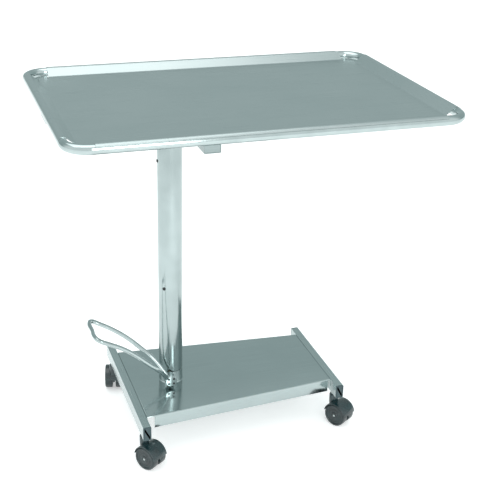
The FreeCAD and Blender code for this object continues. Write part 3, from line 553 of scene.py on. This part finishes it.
def cut_hook_ends(piece):
    """Cut both ends of every hook aslant, from the crest to the lip."""
    crest = HOOK_RADIUS * math.sin(SLOPE)
    width = crest + HOOK_RADIUS
    start_edit(piece)
    for end, axis, flip in ((END_X, AXIS_Y, False), (END_Y, AXIS_X, True)):
        limit = axis - crest - 0.1 * MM
        for a, b in CORNERS:
            place = Vector((a * end, b * (axis - crest), 0))
            normal = Vector((a * width, b * HOOK_CUT, 0)).normalized()
            if flip:
                place, normal = place.yxz, normal.yxz

            def on_hook(face):
                spot = face.calc_center_median()
                across, lengthwise = (spot.x, spot.y) if flip else (spot.y, spot.x)
                return b * across > limit and a * lengthwise > 0

            pick(piece, "FACE", on_hook)
            bpy.ops.mesh.bisect(plane_co=place, plane_no=normal, clear_outer=True)
    end_edit()


# %% [markdown]
# The helper cuts that are left in flat faces are dissolved, the line between floor and slope gets the
# small radius of a press brake, and only then does Solidify turn the surface into a sheet.

# %% Tray pan
def tray_pan():
    piece = tray_blank()
    fold_flanges(piece)
    cut_hook_ends(piece)
    start_edit(piece)
    bpy.ops.mesh.select_all(action="SELECT")
    bpy.ops.mesh.dissolve_limited(angle_limit=math.radians(0.5))
    end_edit()
    start_edit(piece)
    pick(piece, "EDGE", lambda e: abs(middle(e).z - FLOOR) < NEAR and not e.is_boundary
         and (abs(abs(middle(e).y) - FOOT_Y) < NEAR or abs(abs(middle(e).x) - FOOT_X) < NEAR))
    bpy.ops.mesh.bevel(offset=FOLD_RADIUS, segments=4)
    end_edit()
    modify(piece, "SOLIDIFY", thickness=SHEET, offset=-1.0)
    return finish(piece, "tray_pan", "tray", "satin_sheet", SATIN_SHEET, "tray_sheet")


tray_pan()

# %% [markdown]
# ## Carrier under the tray
# A box rail runs across the table and closes with a plate at each end; the front one shows under the
# front tube. Two folded channels run lengthwise and end just inside the frame. They are blocks with
# rounded folds; the channels are opened below and given a wall.

# %% Carrier rails
RAIL_CORNER, RAIL_WALL = 2.5 * MM, 1.6 * MM
CHANNEL_FOLD, CHANNEL_WALL = 3 * MM, 2 * MM


def cross_rail():
    low, high, _ = box_of("cross_rail")
    piece = block(low, high)
    start_edit(piece)
    pick(piece, "EDGE", lambda e: abs(direction(e).y) > 0.99)
    bpy.ops.mesh.bevel(offset=RAIL_CORNER, segments=4)
    pick(piece, "FACE", lambda f: abs(f.normal.y) > 0.99)
    bpy.ops.mesh.inset(thickness=RAIL_WALL, depth=0)
    bpy.ops.mesh.inset(thickness=0.5 * MM, depth=-0.8 * MM)
    end_edit()
    return finish(piece, "carrier_rail", "head", "box_steel", CARRIER_STEEL, "cross_rail")


def channel(node):
    low, high, _ = box_of(node)
    piece = block(low, high)
    start_edit(piece)
    pick(piece, "FACE", lambda f: f.normal.z < -0.99)
    bpy.ops.mesh.delete(type="FACE")
    pick(piece, "EDGE", lambda e: not e.is_boundary)
    bpy.ops.mesh.bevel(offset=CHANNEL_FOLD, segments=4)
    end_edit()
    modify(piece, "SOLIDIFY", thickness=CHANNEL_WALL, offset=-1.0)
    return finish(piece, node.replace("beam", "channel"), "head", "box_steel", CARRIER_STEEL, node)


cross_rail()
channel("long_beam_left")
channel("long_beam_right")

# %% [markdown]
# ## Turning head
# Under the rails sits a plate with its corners rounded, held by four hexagon bolts, and below it the
# turning sleeve with a grub screw. Each bolt head starts as a six-sided cylinder: its outer face is
# inset and pulled out a little, which leaves the chamfer round the rim, and its shank is turned.

# %% Turning head
PLATE_CORNER = 10 * MM
BOLT_RADIUS, BOLT_HEAD = 6 * MM, 4 * MM
SHANK_RADIUS, SHANK_TIP = 3 * MM, 2.4 * MM
SPINDLE_RADIUS = 15 * MM


def head_plate():
    low, high, _ = box_of("head_plate")
    piece = block(low, high)
    start_edit(piece)
    pick(piece, "EDGE", lambda e: abs(direction(e).z) > 0.99)
    bpy.ops.mesh.bevel(offset=PLATE_CORNER, segments=6)
    end_edit()
    soften(piece, 0.6 * MM)
    return finish(piece, "mounting_plate", "head", "box_steel", CARRIER_STEEL, "head_plate")


def hexagon_head(centre, radius, height, facing):
    """A hexagon with a chamfered rim; facing is 1 for a face that looks up and -1 for down."""
    nothing_selected()
    bpy.ops.mesh.primitive_cylinder_add(vertices=6, radius=radius, depth=height, location=centre)
    piece = bpy.context.object
    settle(piece)
    start_edit(piece)
    pick(piece, "FACE", lambda f: f.normal.z * facing > 0.99)
    bpy.ops.mesh.inset(thickness=0.12 * radius, depth=0)
    bpy.ops.transform.translate(value=(0, 0, facing * 0.1 * height))
    end_edit()
    soften(piece, 0.2 * MM, segments=2)
    return piece


def head_bolts():
    low, high, _ = box_of("head_bolts")
    flat = BOLT_RADIUS * math.cos(math.pi / 6)
    length = high.z - low.z - BOLT_HEAD
    shank = [(SHANK_RADIUS, 0), (SHANK_RADIUS, length - 1 * MM), (SHANK_TIP, length), (0, length)]
    parts = []
    for x in (low.x + BOLT_RADIUS, high.x - BOLT_RADIUS):
        for y in (low.y + flat, high.y - flat):
            parts.append(hexagon_head((x, y, low.z + BOLT_HEAD / 2), BOLT_RADIUS, BOLT_HEAD, -1))
            parts.append(turned(shank, (x, y, low.z + BOLT_HEAD), steps=20, closed=False))
    return finish(join(*parts), "rail_bolts", "head", "fastener_steel", ZINC_STEEL, "head_bolts")


def ring(node, inner, steps=96, edge=0.5 * MM):
    """A plain upright sleeve with softened rims, from the box of its node."""
    low, high, centre = box_of(node)
    outer, length = (high.x - low.x) / 2, high.z - low.z
    piece = turned([(inner, 0), (outer, 0), (outer, length), (inner, length)],
                   (centre.x, centre.y, low.z), steps=steps)
    soften(piece, edge)
    return piece


head_plate()
head_bolts()
finish(ring("head_hub", SPINDLE_RADIUS, edge=1.2 * MM), "turning_sleeve", "head", "polished_tube",
       MIRROR_TUBE_PAINTED_DIM, "head_hub")

# %% [markdown]
# ## Column
# The outer tube is a mirror-polished sleeve. Its reflections are long streaks, which a coarse tube
# would break into flats, so it is spun in many steps and its rim is softened. The guide tube inside
# shows as soon as the table is raised, so it gets the same care.

# %% Column and collar
WALL = 2 * MM
PLUG_BORE = 9 * MM
FIT = 0.1 * MM
WELD = 2.2 * MM
finish(ring("outer_column", COLUMN_RADIUS - WALL, steps=160, edge=0.7 * MM), "column_tube", "lift",
       "polished_tube", MIRROR_TUBE_PAINTED_DIM, "outer_column")
inner_low, inner_high, _ = box_of("inner_column")
INNER_RADIUS = (inner_high.x - inner_low.x) / 2
finish(ring("inner_column", INNER_RADIUS - WALL, steps=128, edge=0.4 * MM), "guide_tube", "base",
       "polished_tube", MIRROR_TUBE_PAINTED_DIM, "inner_column")
finish(ring("column_top_plug", PLUG_BORE), "top_plug", "lift", "polished_tube", GROUND_STEEL,
       "column_top_plug")


def collar():
    """The fixed collar: a ring with a rounded upper rim and a small weld fillet at its foot."""
    low, high, centre = box_of("column_collar")
    height = high.z - low.z
    bore = INNER_RADIUS + FIT
    profile = [(bore, 0), (COLUMN_RADIUS + WELD, 0), (COLUMN_RADIUS + 0.35 * WELD, 0.35 * WELD),
               (COLUMN_RADIUS, WELD), (COLUMN_RADIUS, height), (bore, height)]
    piece = turned(profile, (centre.x, centre.y, low.z), steps=128)
    soften(piece, 0.6 * MM, angle=40)
    return finish(piece, "foot_collar", "base", "polished_tube", MIRROR_TUBE_PAINTED_DIM, "column_collar")


collar()

# %% [markdown]
# Two button-head screws sit in the tube. A cylinder gets a rounded crown by bevelling its outer rim,
# and the socket is a round inset pushed inwards.

# %% Button screws
def button_screw(centre, outward, radius, height):
    nothing_selected()
    bpy.ops.mesh.primitive_cylinder_add(vertices=36, radius=radius, depth=height)
    piece = bpy.context.object
    start_edit(piece)
    pick(piece, "FACE", lambda f: f.normal.z > 0.99)
    bpy.ops.mesh.inset(thickness=0.45 * radius, depth=0)
    bpy.ops.mesh.inset(thickness=0.02 * radius, depth=-0.6 * height)
    pick(piece, "EDGE", lambda e: middle(e).z > 0.4 * height and middle(e).to_2d().length > 0.9 * radius)
    bpy.ops.mesh.bevel(offset=0.5 * height, segments=4)
    end_edit()
    piece.rotation_mode = "QUATERNION"
    piece.rotation_quaternion = Vector((0, 0, 1)).rotation_difference(Vector(outward))
    piece.location = Vector(centre) + Vector(outward).normalized() * height / 2
    settle(piece)
    return piece


def guide_screws():
    low, high, _ = box_of("guide_screws")
    radius, height = 4 * MM, 1.8 * MM
    screws = []
    for z, outward in ((low.z + radius, Vector((-1, -1, 0))), (high.z - radius, Vector((-1, 0, 0)))):
        outward.normalize()
        seat = Vector((COLUMN_X, 0, z)) + outward * COLUMN_RADIUS
        screws.append(button_screw(seat, outward, radius, height))
    return finish(join(*screws), "button_screws", "lift", "fastener_steel", BLACK_OXIDE, "guide_screws")


guide_screws()

# %% [markdown]
# ## Base plate
# The plate is folded from one sheet: a block is tapered, its upper edges are rounded as a press brake
# leaves them, the bottom is opened, the skirts are cut back at the corners, and a Solidify gives the
# sheet its 2 mm. Small bends and the open corners are what make it read as sheet and not as a slab.

# %% Base plate
PLATE_SHEET = 2 * MM
PLATE_FOLD = 3 * MM
SIDE_FOLD = 20 * MM
NOTCH_LEFT, NOTCH_RIGHT = 20 * MM, 8 * MM
NARROW_HALF = 127 * MM


def base_plate():
    low, high, _ = box_of("base_plate")
    piece = block(low, high)
    start_edit(piece)
    pick(piece, "VERT", lambda v: v.co.x > 0)
    bpy.ops.transform.resize(value=(1, NARROW_HALF / high.y, 1), center_override=(high.x, 0, 0))
    pick(piece, "FACE", lambda f: f.normal.z < -0.99)
    bpy.ops.mesh.delete(type="FACE")
    pick(piece, "EDGE", lambda e: middle(e).z > high.z - 0.1 * MM)
    bpy.ops.mesh.bevel(offset=PLATE_FOLD, segments=5)
    fold_line = high.z - PLATE_FOLD
    for x in (low.x + NOTCH_LEFT, high.x - NOTCH_RIGHT):
        cut_plane((x, 0, 0), (1, 0, 0))
    for z in (high.z - SIDE_FOLD, fold_line):
        cut_plane((0, 0, z), (0, 0, 1))

    def notch(face):
        spot = face.calc_center_median()
        at_end = spot.x < low.x + NOTCH_LEFT or spot.x > high.x - NOTCH_RIGHT
        skirt = abs(face.normal.y) > 0.9 and spot.z < fold_line and at_end
        side = abs(face.normal.x) > 0.9 and spot.z < high.z - SIDE_FOLD
        return skirt or side

    pick(piece, "FACE", notch)
    bpy.ops.mesh.delete(type="FACE")
    end_edit()
    modify(piece, "SOLIDIFY", thickness=PLATE_SHEET, offset=-1.0)
    soften(piece, 0.25 * MM, segments=2, angle=50)
    return finish(piece, "folded_base_plate", "base", "satin_sheet", BASE_SHEET, "base_plate")


base_plate()

# %% [markdown]
# ## Side members
# Two box tubes of different length carry the plate and the castors. Rectangular tube always has
# rounded corners. Each end is closed by a moulded cap: its face lies on the tube's end with a
# chamfer, and it has a shallow panel that the mould leaves.

# %% Side members and caps
CAP_FACE = 3 * MM
BOX_CORNER, BOX_WALL = 2.2 * MM, 2 * MM


def member(node, name):
    low, high, _ = box_of(node)
    piece = block(low, high)
    start_edit(piece)
    pick(piece, "EDGE", lambda e: abs(direction(e).y) > 0.99)
    bpy.ops.mesh.bevel(offset=BOX_CORNER, segments=4)
    pick(piece, "FACE", lambda f: abs(f.normal.y) > 0.99)
    bpy.ops.mesh.delete(type="FACE")
    end_edit()
    modify(piece, "SOLIDIFY", thickness=BOX_WALL, offset=-1.0)
    return finish(piece, name, "base", "box_steel", MEMBER_STEEL, node)


def end_cap(member_low, member_high, sign):
    """A moulded cap on one end of a member; sign is -1 for the front end and 1 for the back."""
    seat = member_high.y if sign > 0 else member_low.y
    face_y = seat + sign * CAP_FACE
    low = Vector((member_low.x, min(seat, face_y), member_low.z))
    high = Vector((member_high.x, max(seat, face_y), member_high.z))
    piece = block(low, high)
    start_edit(piece)
    pick(piece, "EDGE", lambda e: abs(direction(e).y) > 0.99)
    bpy.ops.mesh.bevel(offset=BOX_CORNER, segments=4)
    pick(piece, "FACE", lambda f: f.normal.y * sign > 0.99)
    bpy.ops.mesh.inset(thickness=2.4 * MM, depth=0)
    bpy.ops.mesh.inset(thickness=0.5 * MM, depth=-0.6 * MM)

    def outer_rim(edge):
        """The rim between the cap's face and its sides, which gets the chamfer."""
        if any(abs(v.co.y - face_y) > NEAR for v in edge.verts) or len(edge.link_faces) != 2:
            return False
        if min(abs(f.normal.y) for f in edge.link_faces) > 0.1:
            return False
        spot = middle(edge)
        inset = min(abs(spot.x - low.x), abs(spot.x - high.x), abs(spot.z - low.z), abs(spot.z - high.z))
        return inset < BOX_CORNER + 0.1 * MM

    pick(piece, "EDGE", outer_rim)
    bpy.ops.mesh.bevel(offset=0.5 * MM, segments=2)
    end_edit()
    return piece


def side_members():
    caps = []
    for node, name in (("side_member_left", "left_member"), ("side_member_right", "right_member")):
        member(node, name)
        low, high, _ = box_of(node)
        caps += [end_cap(low, high, -1), end_cap(low, high, 1)]
    return finish(join(*caps), "member_caps", "base", "cap_plastic", CAP_NYLON, "member_end_caps")


side_members()

# %% [markdown]
# ## Pedal
# A round bar is bent into a loop: two legs rise from the hub, splay, and meet at the foot end. A
# curve with a round section bends like the bar does. The hub is a short polished cylinder with a
# cover held by four dark socket screws.

# %% Pedal
hub_low, hub_high, hub_centre = box_of("pedal_hub")
HUB_RADIUS = (hub_high.x - hub_low.x) / 2
ROD_RADIUS = 5.5 * MM
LOOP_START, LOOP_REACH = 19 * MM, 208 * MM
LOOP_MIDDLE, LOOP_WIDTH = -45 * MM, 112 * MM
LOOP_TOP = 314 * MM
LOOP_SAG = 4 * MM
# along each leg: how far out, how high and how wide the loop has become, as shares of the whole
LOOP_STATIONS = [(0.0, 0.04, 0.06), (0.16, 0.29, 0.52), (0.33, 0.48, 0.72), (0.5, 0.66, 0.80),
                 (0.68, 0.81, 0.87), (0.85, 0.92, 0.94), (0.96, 0.985, 0.93)]
NOSE_SHARES = (0.32, 0.0, -0.32)


def loop_route():
    """The middle line of the bar: up the rear leg, round the foot end, down the front leg."""
    rear, front = [], []
    for far, up, side in LOOP_STATIONS:
        x = COLUMN_X - LOOP_START - far * (LOOP_REACH - LOOP_START)
        z = hub_centre.z + up * (LOOP_TOP - hub_centre.z)
        rear.append(Vector((x, side * LOOP_WIDTH / 2, z)))
        front.append(Vector((x, -side * LOOP_WIDTH / 2, z - LOOP_SAG * (1 - far) ** 2)))
    nose = [Vector((COLUMN_X - LOOP_REACH, LOOP_WIDTH * share, LOOP_TOP)) for share in NOSE_SHARES]
    return rear + nose + front[::-1]


def pedal_loop():
    route = loop_route()
    data = bpy.data.curves.new("bar", "CURVE")
    data.dimensions = "3D"
    data.bevel_depth = ROD_RADIUS
    data.bevel_resolution = 8
    data.resolution_u = 10
    data.use_fill_caps = True
    spline = data.splines.new("BEZIER")
    spline.bezier_points.add(len(route) - 1)
    for knot, point in zip(spline.bezier_points, route):
        knot.co = point + Vector((0, LOOP_MIDDLE, 0))
        knot.handle_left_type = knot.handle_right_type = "AUTO"
    bar = bpy.data.objects.new("bar", data)
    bpy.context.scene.collection.objects.link(bar)
    select_only(bar)
    bpy.ops.object.convert(target="MESH")
    tidy_normals(bar)
    return finish(bar, "pedal_bar", "pedal", "polished_tube", MIRROR_ROD, "pedal_loop")


def pedal_hub():
    length = hub_high.y - hub_low.y
    piece = turned([(0, 0), (HUB_RADIUS, 0), (HUB_RADIUS, length), (0, length)],
                   (hub_centre.x, hub_low.y, hub_centre.z), (0, 1, 0), 72, closed=False)
    soften(piece, 1.0 * MM)
    return finish(piece, "hub_boss", "pedal", "polished_tube", MIRROR_ROD, "pedal_hub")


SCREW_RADIUS, SCREW_HEIGHT, SCREW_SUNK = 2.9 * MM, 0.9 * MM, 0.2 * MM
SCREW_EDGE = 2.6 * MM  # from a screw's middle to the edge of the four screws' box


def hub_cover():
    low, high, centre = box_of("hub_cover")
    radius, thickness = (high.x - low.x) / 2, high.y - low.y
    piece = turned([(0, 0), (radius, 0), (radius, thickness), (0, thickness)],
                   (centre.x, high.y, centre.z), (0, -1, 0), 72, closed=False)
    soften(piece, 0.9 * MM, segments=4)
    finish(piece, "hub_cap", "pedal", "polished_tube", MIRROR_ROD, "hub_cover")
    screw_low, screw_high, middle_spot = box_of("cover_screws")
    pitch = (screw_high.x - screw_low.x) / 2 - SCREW_EDGE
    screws = [button_screw((middle_spot.x + a * pitch, low.y + SCREW_SUNK, middle_spot.z + b * pitch),
                           (0, -1, 0), SCREW_RADIUS, SCREW_HEIGHT) for a, b in CORNERS]
    return finish(join(*screws), "hub_screws", "pedal", "fastener_steel", BLACK_OXIDE, "cover_screws")


pedal_loop()
pedal_hub()
hub_cover()

# %% [markdown]
# ## Castors
# A twin-wheel castor: a hood that covers the upper half of both wheels, a web and a boss for the
# stem between them, and two wheels with a tread, a raised rim, a dished disc and a hub cap. One castor
# is built about its own stem and copied later. A wheel is turned from one profile, whose points are
# a radius and a place along the axle in millimetres.

# %% Castor wheel
WHEEL_RADIUS = 30 * MM
TRAIL = 20 * MM
WHEEL_CENTRE = (-TRAIL, 0, WHEEL_RADIUS)
WEB = 6 * MM
SIDE_GAP = 1 * MM
WHEEL_WIDTH = 20 * MM
HOOD_INNER = 31 * MM
HOOD_OUTER = 33.5 * MM
HOOD_HALF = WHEEL_WIDTH + WEB / 2 + SIDE_GAP
HOOD_EDGE = 36 * MM


def castor_wheel(sign):
    """One wheel about its axle: tread, rim, dished disc with a groove, and a hub cap."""
    inner = (WEB / 2 + SIDE_GAP) / MM
    outer = inner + WHEEL_WIDTH / MM
    profile = [(3, inner), (26, inner), (28.4, inner + 0.4), (29.7, inner + 2), (30, inner + 4),
               (30, outer - 5), (29.6, outer - 2.2), (28.2, outer - 0.5), (27, outer), (24.6, outer),
               (23.8, outer - 0.8), (23.2, outer - 2.2), (17.4, outer - 2.4), (17, outer - 3),
               (16.4, outer - 3), (16, outer - 2.4), (9.2, outer - 2), (8.4, outer - 0.6), (7.6, outer),
               (4.2, outer), (4.0, outer - 0.5), (3, outer - 0.5)]
    return turned([(radius * MM, height * MM) for radius, height in profile], WHEEL_CENTRE,
                  (0, sign, 0), 72)


# %% [markdown]
# The hood is a ring about the axle whose lower half is cut away and closed again. The web is a disc
# cut in the same way, the ear is a small disc round the axle, and the boss that takes the stem is
# turned about the stem's own axis.

# %% Castor hood
BOSS_FOOT, BOSS_SHOULDER, BOSS_TOP = 50 * MM, 58 * MM, 80.5 * MM
BOSS_RADIUS = 11.5 * MM
EAR_RADIUS = 12 * MM
HOOD_ROLL = 2.2 * MM


def disc_about_axle(radius, steps):
    """A disc as thick as the web, standing about the axle."""
    return turned([(0, -WEB / 2), (radius, -WEB / 2), (radius, WEB / 2), (0, WEB / 2)], WHEEL_CENTRE,
                  (0, 1, 0), steps, closed=False)


def cut_below(piece, height):
    start_edit(piece)
    bpy.ops.mesh.select_all(action="SELECT")
    bpy.ops.mesh.bisect(plane_co=(0, 0, height), plane_no=(0, 0, 1), clear_inner=True, use_fill=True)
    end_edit()


def castor_hood():
    """A mudguard over both wheels with rolled edges, the web, the axle ear and the stem boss."""
    half = HOOD_HALF
    profile = [(HOOD_INNER, -half), (HOOD_OUTER - HOOD_ROLL, -half),
               (HOOD_OUTER - 0.7 * MM, -half + 0.6 * MM), (HOOD_OUTER, -half + HOOD_ROLL),
               (HOOD_OUTER, half - HOOD_ROLL), (HOOD_OUTER - 0.7 * MM, half - 0.6 * MM),
               (HOOD_OUTER - HOOD_ROLL, half), (HOOD_INNER, half)]
    guard = turned(profile, WHEEL_CENTRE, (0, 1, 0), 80)
    cut_below(guard, HOOD_EDGE)
    soften(guard, 0.6 * MM, segments=2, angle=50)
    web = disc_about_axle(HOOD_INNER + 1 * MM, 64)
    cut_below(web, HOOD_EDGE - 6 * MM)
    ear = disc_about_axle(EAR_RADIUS, 40)
    boss = turned([(0, BOSS_FOOT), (BOSS_RADIUS - 0.7 * MM, BOSS_FOOT), (BOSS_RADIUS, BOSS_SHOULDER),
                   (BOSS_RADIUS, BOSS_TOP - 2 * MM), (BOSS_RADIUS - 0.9 * MM, BOSS_TOP - 0.5 * MM),
                   (BOSS_RADIUS - 2.1 * MM, BOSS_TOP), (0, BOSS_TOP)], (0, 0, 0), steps=56, closed=False)
    return join(guard, web, ear, boss)


# %% Axle and stem
AXLE_RADIUS, AXLE_TIP, AXLE_CHAMFER = 3 * MM, 2.4 * MM, 0.6 * MM
PIN_RADIUS, STEM_RADIUS = 5 * MM, 8.5 * MM
STEM_SEAT = 24 * MM  # the height of the collar's top over the stem's foot


def axle():
    reach = HOOD_HALF + 0.5 * MM
    profile = [(0, -reach), (AXLE_TIP, -reach), (AXLE_RADIUS, -reach + AXLE_CHAMFER),
               (AXLE_RADIUS, reach - AXLE_CHAMFER), (AXLE_TIP, reach), (0, reach)]
    return turned(profile, WHEEL_CENTRE, (0, 1, 0), 32, closed=False)


def stem():
    """The round collar under the member, with the pins above and below it."""
    low, high, _ = box_of("castor_stems")
    seat = low.z + STEM_SEAT
    profile = [(0, low.z), (PIN_RADIUS, low.z), (PIN_RADIUS, seat - 5 * MM),
               (STEM_RADIUS - 0.6 * MM, seat - 5 * MM), (STEM_RADIUS, seat - 4.4 * MM),
               (STEM_RADIUS, seat - 0.5 * MM), (STEM_RADIUS - 0.4 * MM, seat), (PIN_RADIUS, seat),
               (PIN_RADIUS, high.z - 1 * MM), (PIN_RADIUS - 0.8 * MM, high.z), (0, high.z)]
    return turned(profile, (0, 0, 0), steps=48, closed=False)


# %% [markdown]
# The model castor is copied to each corner. The engineering model says where a stem stands, and the
# direction from the axle to the stem gives the angle at which that castor came to rest.

# %% Four castors
CASTOR_LOOKS = {
    "hood": ("castor_", "castor_plastic", CASTOR_NYLON),
    "wheel_a": ("wheels_", "wheel_plastic", TREAD_NYLON),
    "wheel_b": ("wheels_", "wheel_plastic", TREAD_NYLON),
    "axle": ("wheels_", "shaft_steel", GROUND_STEEL),
}


def castor_place(corner):
    """Where a castor's stem stands, and which way its axle lies from it."""
    pivot = next(joint["pos_m"] for joint in frame["joints"] if joint["name"] == "swivel_" + corner)
    _, _, axle_centre = box_of("castor_axle_" + corner)
    heading = math.atan2(pivot[1] - axle_centre.y, pivot[0] - axle_centre.x)
    return Vector((pivot[0], pivot[1], 0)), heading


def castors():
    models = {"hood": castor_hood(), "wheel_a": castor_wheel(-1), "wheel_b": castor_wheel(1),
              "axle": axle(), "stem": stem()}
    stems = []
    for corner in ("front_left", "front_right", "back_left", "back_right"):
        place, heading = castor_place(corner)
        for kind, model in models.items():
            piece = copy_of(model)
            piece.location = place
            piece.rotation_mode = "XYZ"
            piece.rotation_euler = (0, 0, heading)
            settle(piece)
            if kind == "stem":
                stems.append(piece)
                continue
            body, slot, material = CASTOR_LOOKS[kind]
            finish(piece, kind + "_" + corner, body + corner, slot, material,
                   "castor_" + kind + "_" + corner)
    finish(join(*stems), "stems", "base", "fastener_steel", ZINC_STEEL, "castor_stems")
    for model in models.values():
        bpy.data.objects.remove(model)


castors()

# %% [markdown]
# ## Parts that stay as engineered
# What is hidden inside the column or below the plate has its right shape already, so those nodes only
# get their finishes.

# %% Finishes of the engineered parts
KEPT = {
    "swivel_spindle": GROUND_STEEL, "thrust_washer": BRONZE, "hub_lock_screw": BLACK_OXIDE,
    "head_nuts": ZINC_STEEL, "ram_rod": GROUND_STEEL, "ram_piston": GROUND_STEEL,
    "lower_guide_bush": ACETAL, "upper_guide_ring": ACETAL, "pump_block": GROUND_STEEL,
    "ram_cylinder": GROUND_STEEL, "cylinder_gland": GROUND_STEEL, "plunger_spring": GROUND_STEEL,
    "pump_plunger": GROUND_STEEL, "pedal_shaft": GROUND_STEEL, "shaft_bush": BRONZE,
    "pump_crank": ZINC_STEEL, "foot_flange": CARRIER_STEEL, "foot_studs": ZINC_STEEL,
    "foot_nuts": ZINC_STEEL, "castor_sockets": ZINC_STEEL, "rest_pads": PAD_RUBBER,
}
for node, material in KEPT.items():
    for slot_item in frame["nodes"][node].material_slots:
        slot_item.material = material
print("kept as engineered:", len(KEPT), "pieces")

# %% [markdown]
# ## Stage
# A pale floor that glows a little, so that it stays nearly white under soft light, and a camera at the
# height of a standing person's eyes, some way off, with a long lens.

# %% Floor
STUDIO_SIZE, STUDIO_DROP = 60, 0.5 * MM
FLOOR_GLOW = 0.42


def pale_floor():
    nothing_selected()
    bpy.ops.mesh.primitive_plane_add(size=STUDIO_SIZE, location=(0, 0, -STUDIO_DROP))
    floor = bpy.context.object
    floor.name = "studio_floor"
    material, _, shader = new_finish("matt_white_floor", Roughness=0.9)
    shader.inputs["Base Color"].default_value = linear("f4f4f4")
    shader.inputs["Emission Color"].default_value = linear("ffffff")
    shader.inputs["Emission Strength"].default_value = FLOOR_GLOW
    floor.data.materials.append(material)
    print("floor", STUDIO_SIZE, "m square")


pale_floor()


# %% Camera
def camera_at(place, heading, tilt, roll, lens):
    """A camera that looks heading degrees right of +Y, tilt degrees down, rolled a little."""
    heading, tilt, roll = (math.radians(v) for v in (heading, tilt, roll))
    forward = Vector((math.sin(heading) * math.cos(tilt), math.cos(heading) * math.cos(tilt),
                      -math.sin(tilt)))
    right = Vector((math.cos(heading), -math.sin(heading), 0))
    up = right.cross(forward)
    x_axis = math.cos(roll) * right + math.sin(roll) * up
    y_axis = -math.sin(roll) * right + math.cos(roll) * up
    data = bpy.data.cameras.new("camera")
    data.lens = lens
    data.sensor_width = 36
    data.clip_end = 100
    camera = bpy.data.objects.new("camera", data)
    bpy.context.scene.collection.objects.link(camera)
    turn = Matrix((x_axis, y_axis, -forward)).transposed().to_4x4()
    camera.matrix_world = Matrix.Translation(place) @ turn
    bpy.context.scene.camera = camera
    print("camera at", tuple(place), "lens", lens)


camera_at(Vector((-0.7632, -2.3007, 1.5497)), heading=19.428, tilt=24.090, roll=1.617, lens=76.13)
bpy.context.scene.view_settings.view_transform = "Standard"

# %% [markdown]
# Two soft area lights: a wide one overhead for the tray and the floor, and a narrow upright one in
# front for the column and the front edges.

# %% Soft lights
def soft_light(name, place, target, size, power):
    data = bpy.data.lights.new(name, "AREA")
    data.shape = "RECTANGLE"
    data.size, data.size_y = size
    data.energy = power
    light = bpy.data.objects.new(name, data)
    light.location = place
    light.rotation_mode = "QUATERNION"
    light.rotation_quaternion = (Vector(target) - Vector(place)).to_track_quat("-Z", "Y")
    bpy.context.scene.collection.objects.link(light)
    print("light", name, power, "W")


soft_light("overhead_softbox", (-0.6, 0.2, 3.4), target=(0, 0, 0.4), size=(3.0, 3.0), power=34)
soft_light("front_softbox", (0.1, -2.6, 1.5), target=(-0.16, 0, 0.5), size=(0.6, 1.6), power=16)

# %% [markdown]
# Polished steel shows only what stands round it. The studio is bright overhead and in front of the
# table and a calm grey-green behind it, which is what the tray floor mirrors.

# %% Studio surround
LOOKING = (0.333, 0.943, 0)  # level, from the camera to the table
SURROUND_STRENGTH = 1.15
BACK_TONES = ((0.0, "a9b9b9"), (0.2, "aebdbd"), (0.55, "b2c0c0"), (0.8, "ccd6d6"), (1.0, "f0f6f6"))
FRONT_TONES = ((0.0, "f6ffff"), (0.45, "ffffff"), (0.6, "f6fcfc"), (0.8, "f6fcfc"), (1.0, "ffffff"))


def studio_world():
    """A back and a front tone by height, blended by how far a direction points away."""
    world = bpy.data.worlds.new("studio")
    bpy.context.scene.world = world
    world.use_nodes = True
    tree = world.node_tree
    background = tree.nodes["Background"]
    place = add_node(tree, "ShaderNodeTexCoord")
    parts = add_node(tree, "ShaderNodeSeparateXYZ", {"Vector": place.outputs["Generated"]})
    away = add_node(tree, "ShaderNodeVectorMath", {0: place.outputs["Generated"]}, {1: LOOKING},
                    operation="DOT_PRODUCT")
    behind = add_node(tree, "ShaderNodeMapRange", {"Value": away.outputs["Value"]},
                      {"From Min": -0.25, "From Max": 0.35}, interpolation_type="SMOOTHSTEP")
    back = add_node(tree, "ShaderNodeValToRGB", {"Fac": parts.outputs["Z"]}, stops=BACK_TONES)
    front = add_node(tree, "ShaderNodeValToRGB", {"Fac": parts.outputs["Z"]}, stops=FRONT_TONES)
    mixed = add_node(tree, "ShaderNodeMix", {0: behind.outputs["Result"], 6: front.outputs["Color"],
                                             7: back.outputs["Color"]}, data_type="RGBA")
    tree.links.new(mixed.outputs[2], background.inputs["Color"])
    background.inputs["Strength"].default_value = SURROUND_STRENGTH


studio_world()
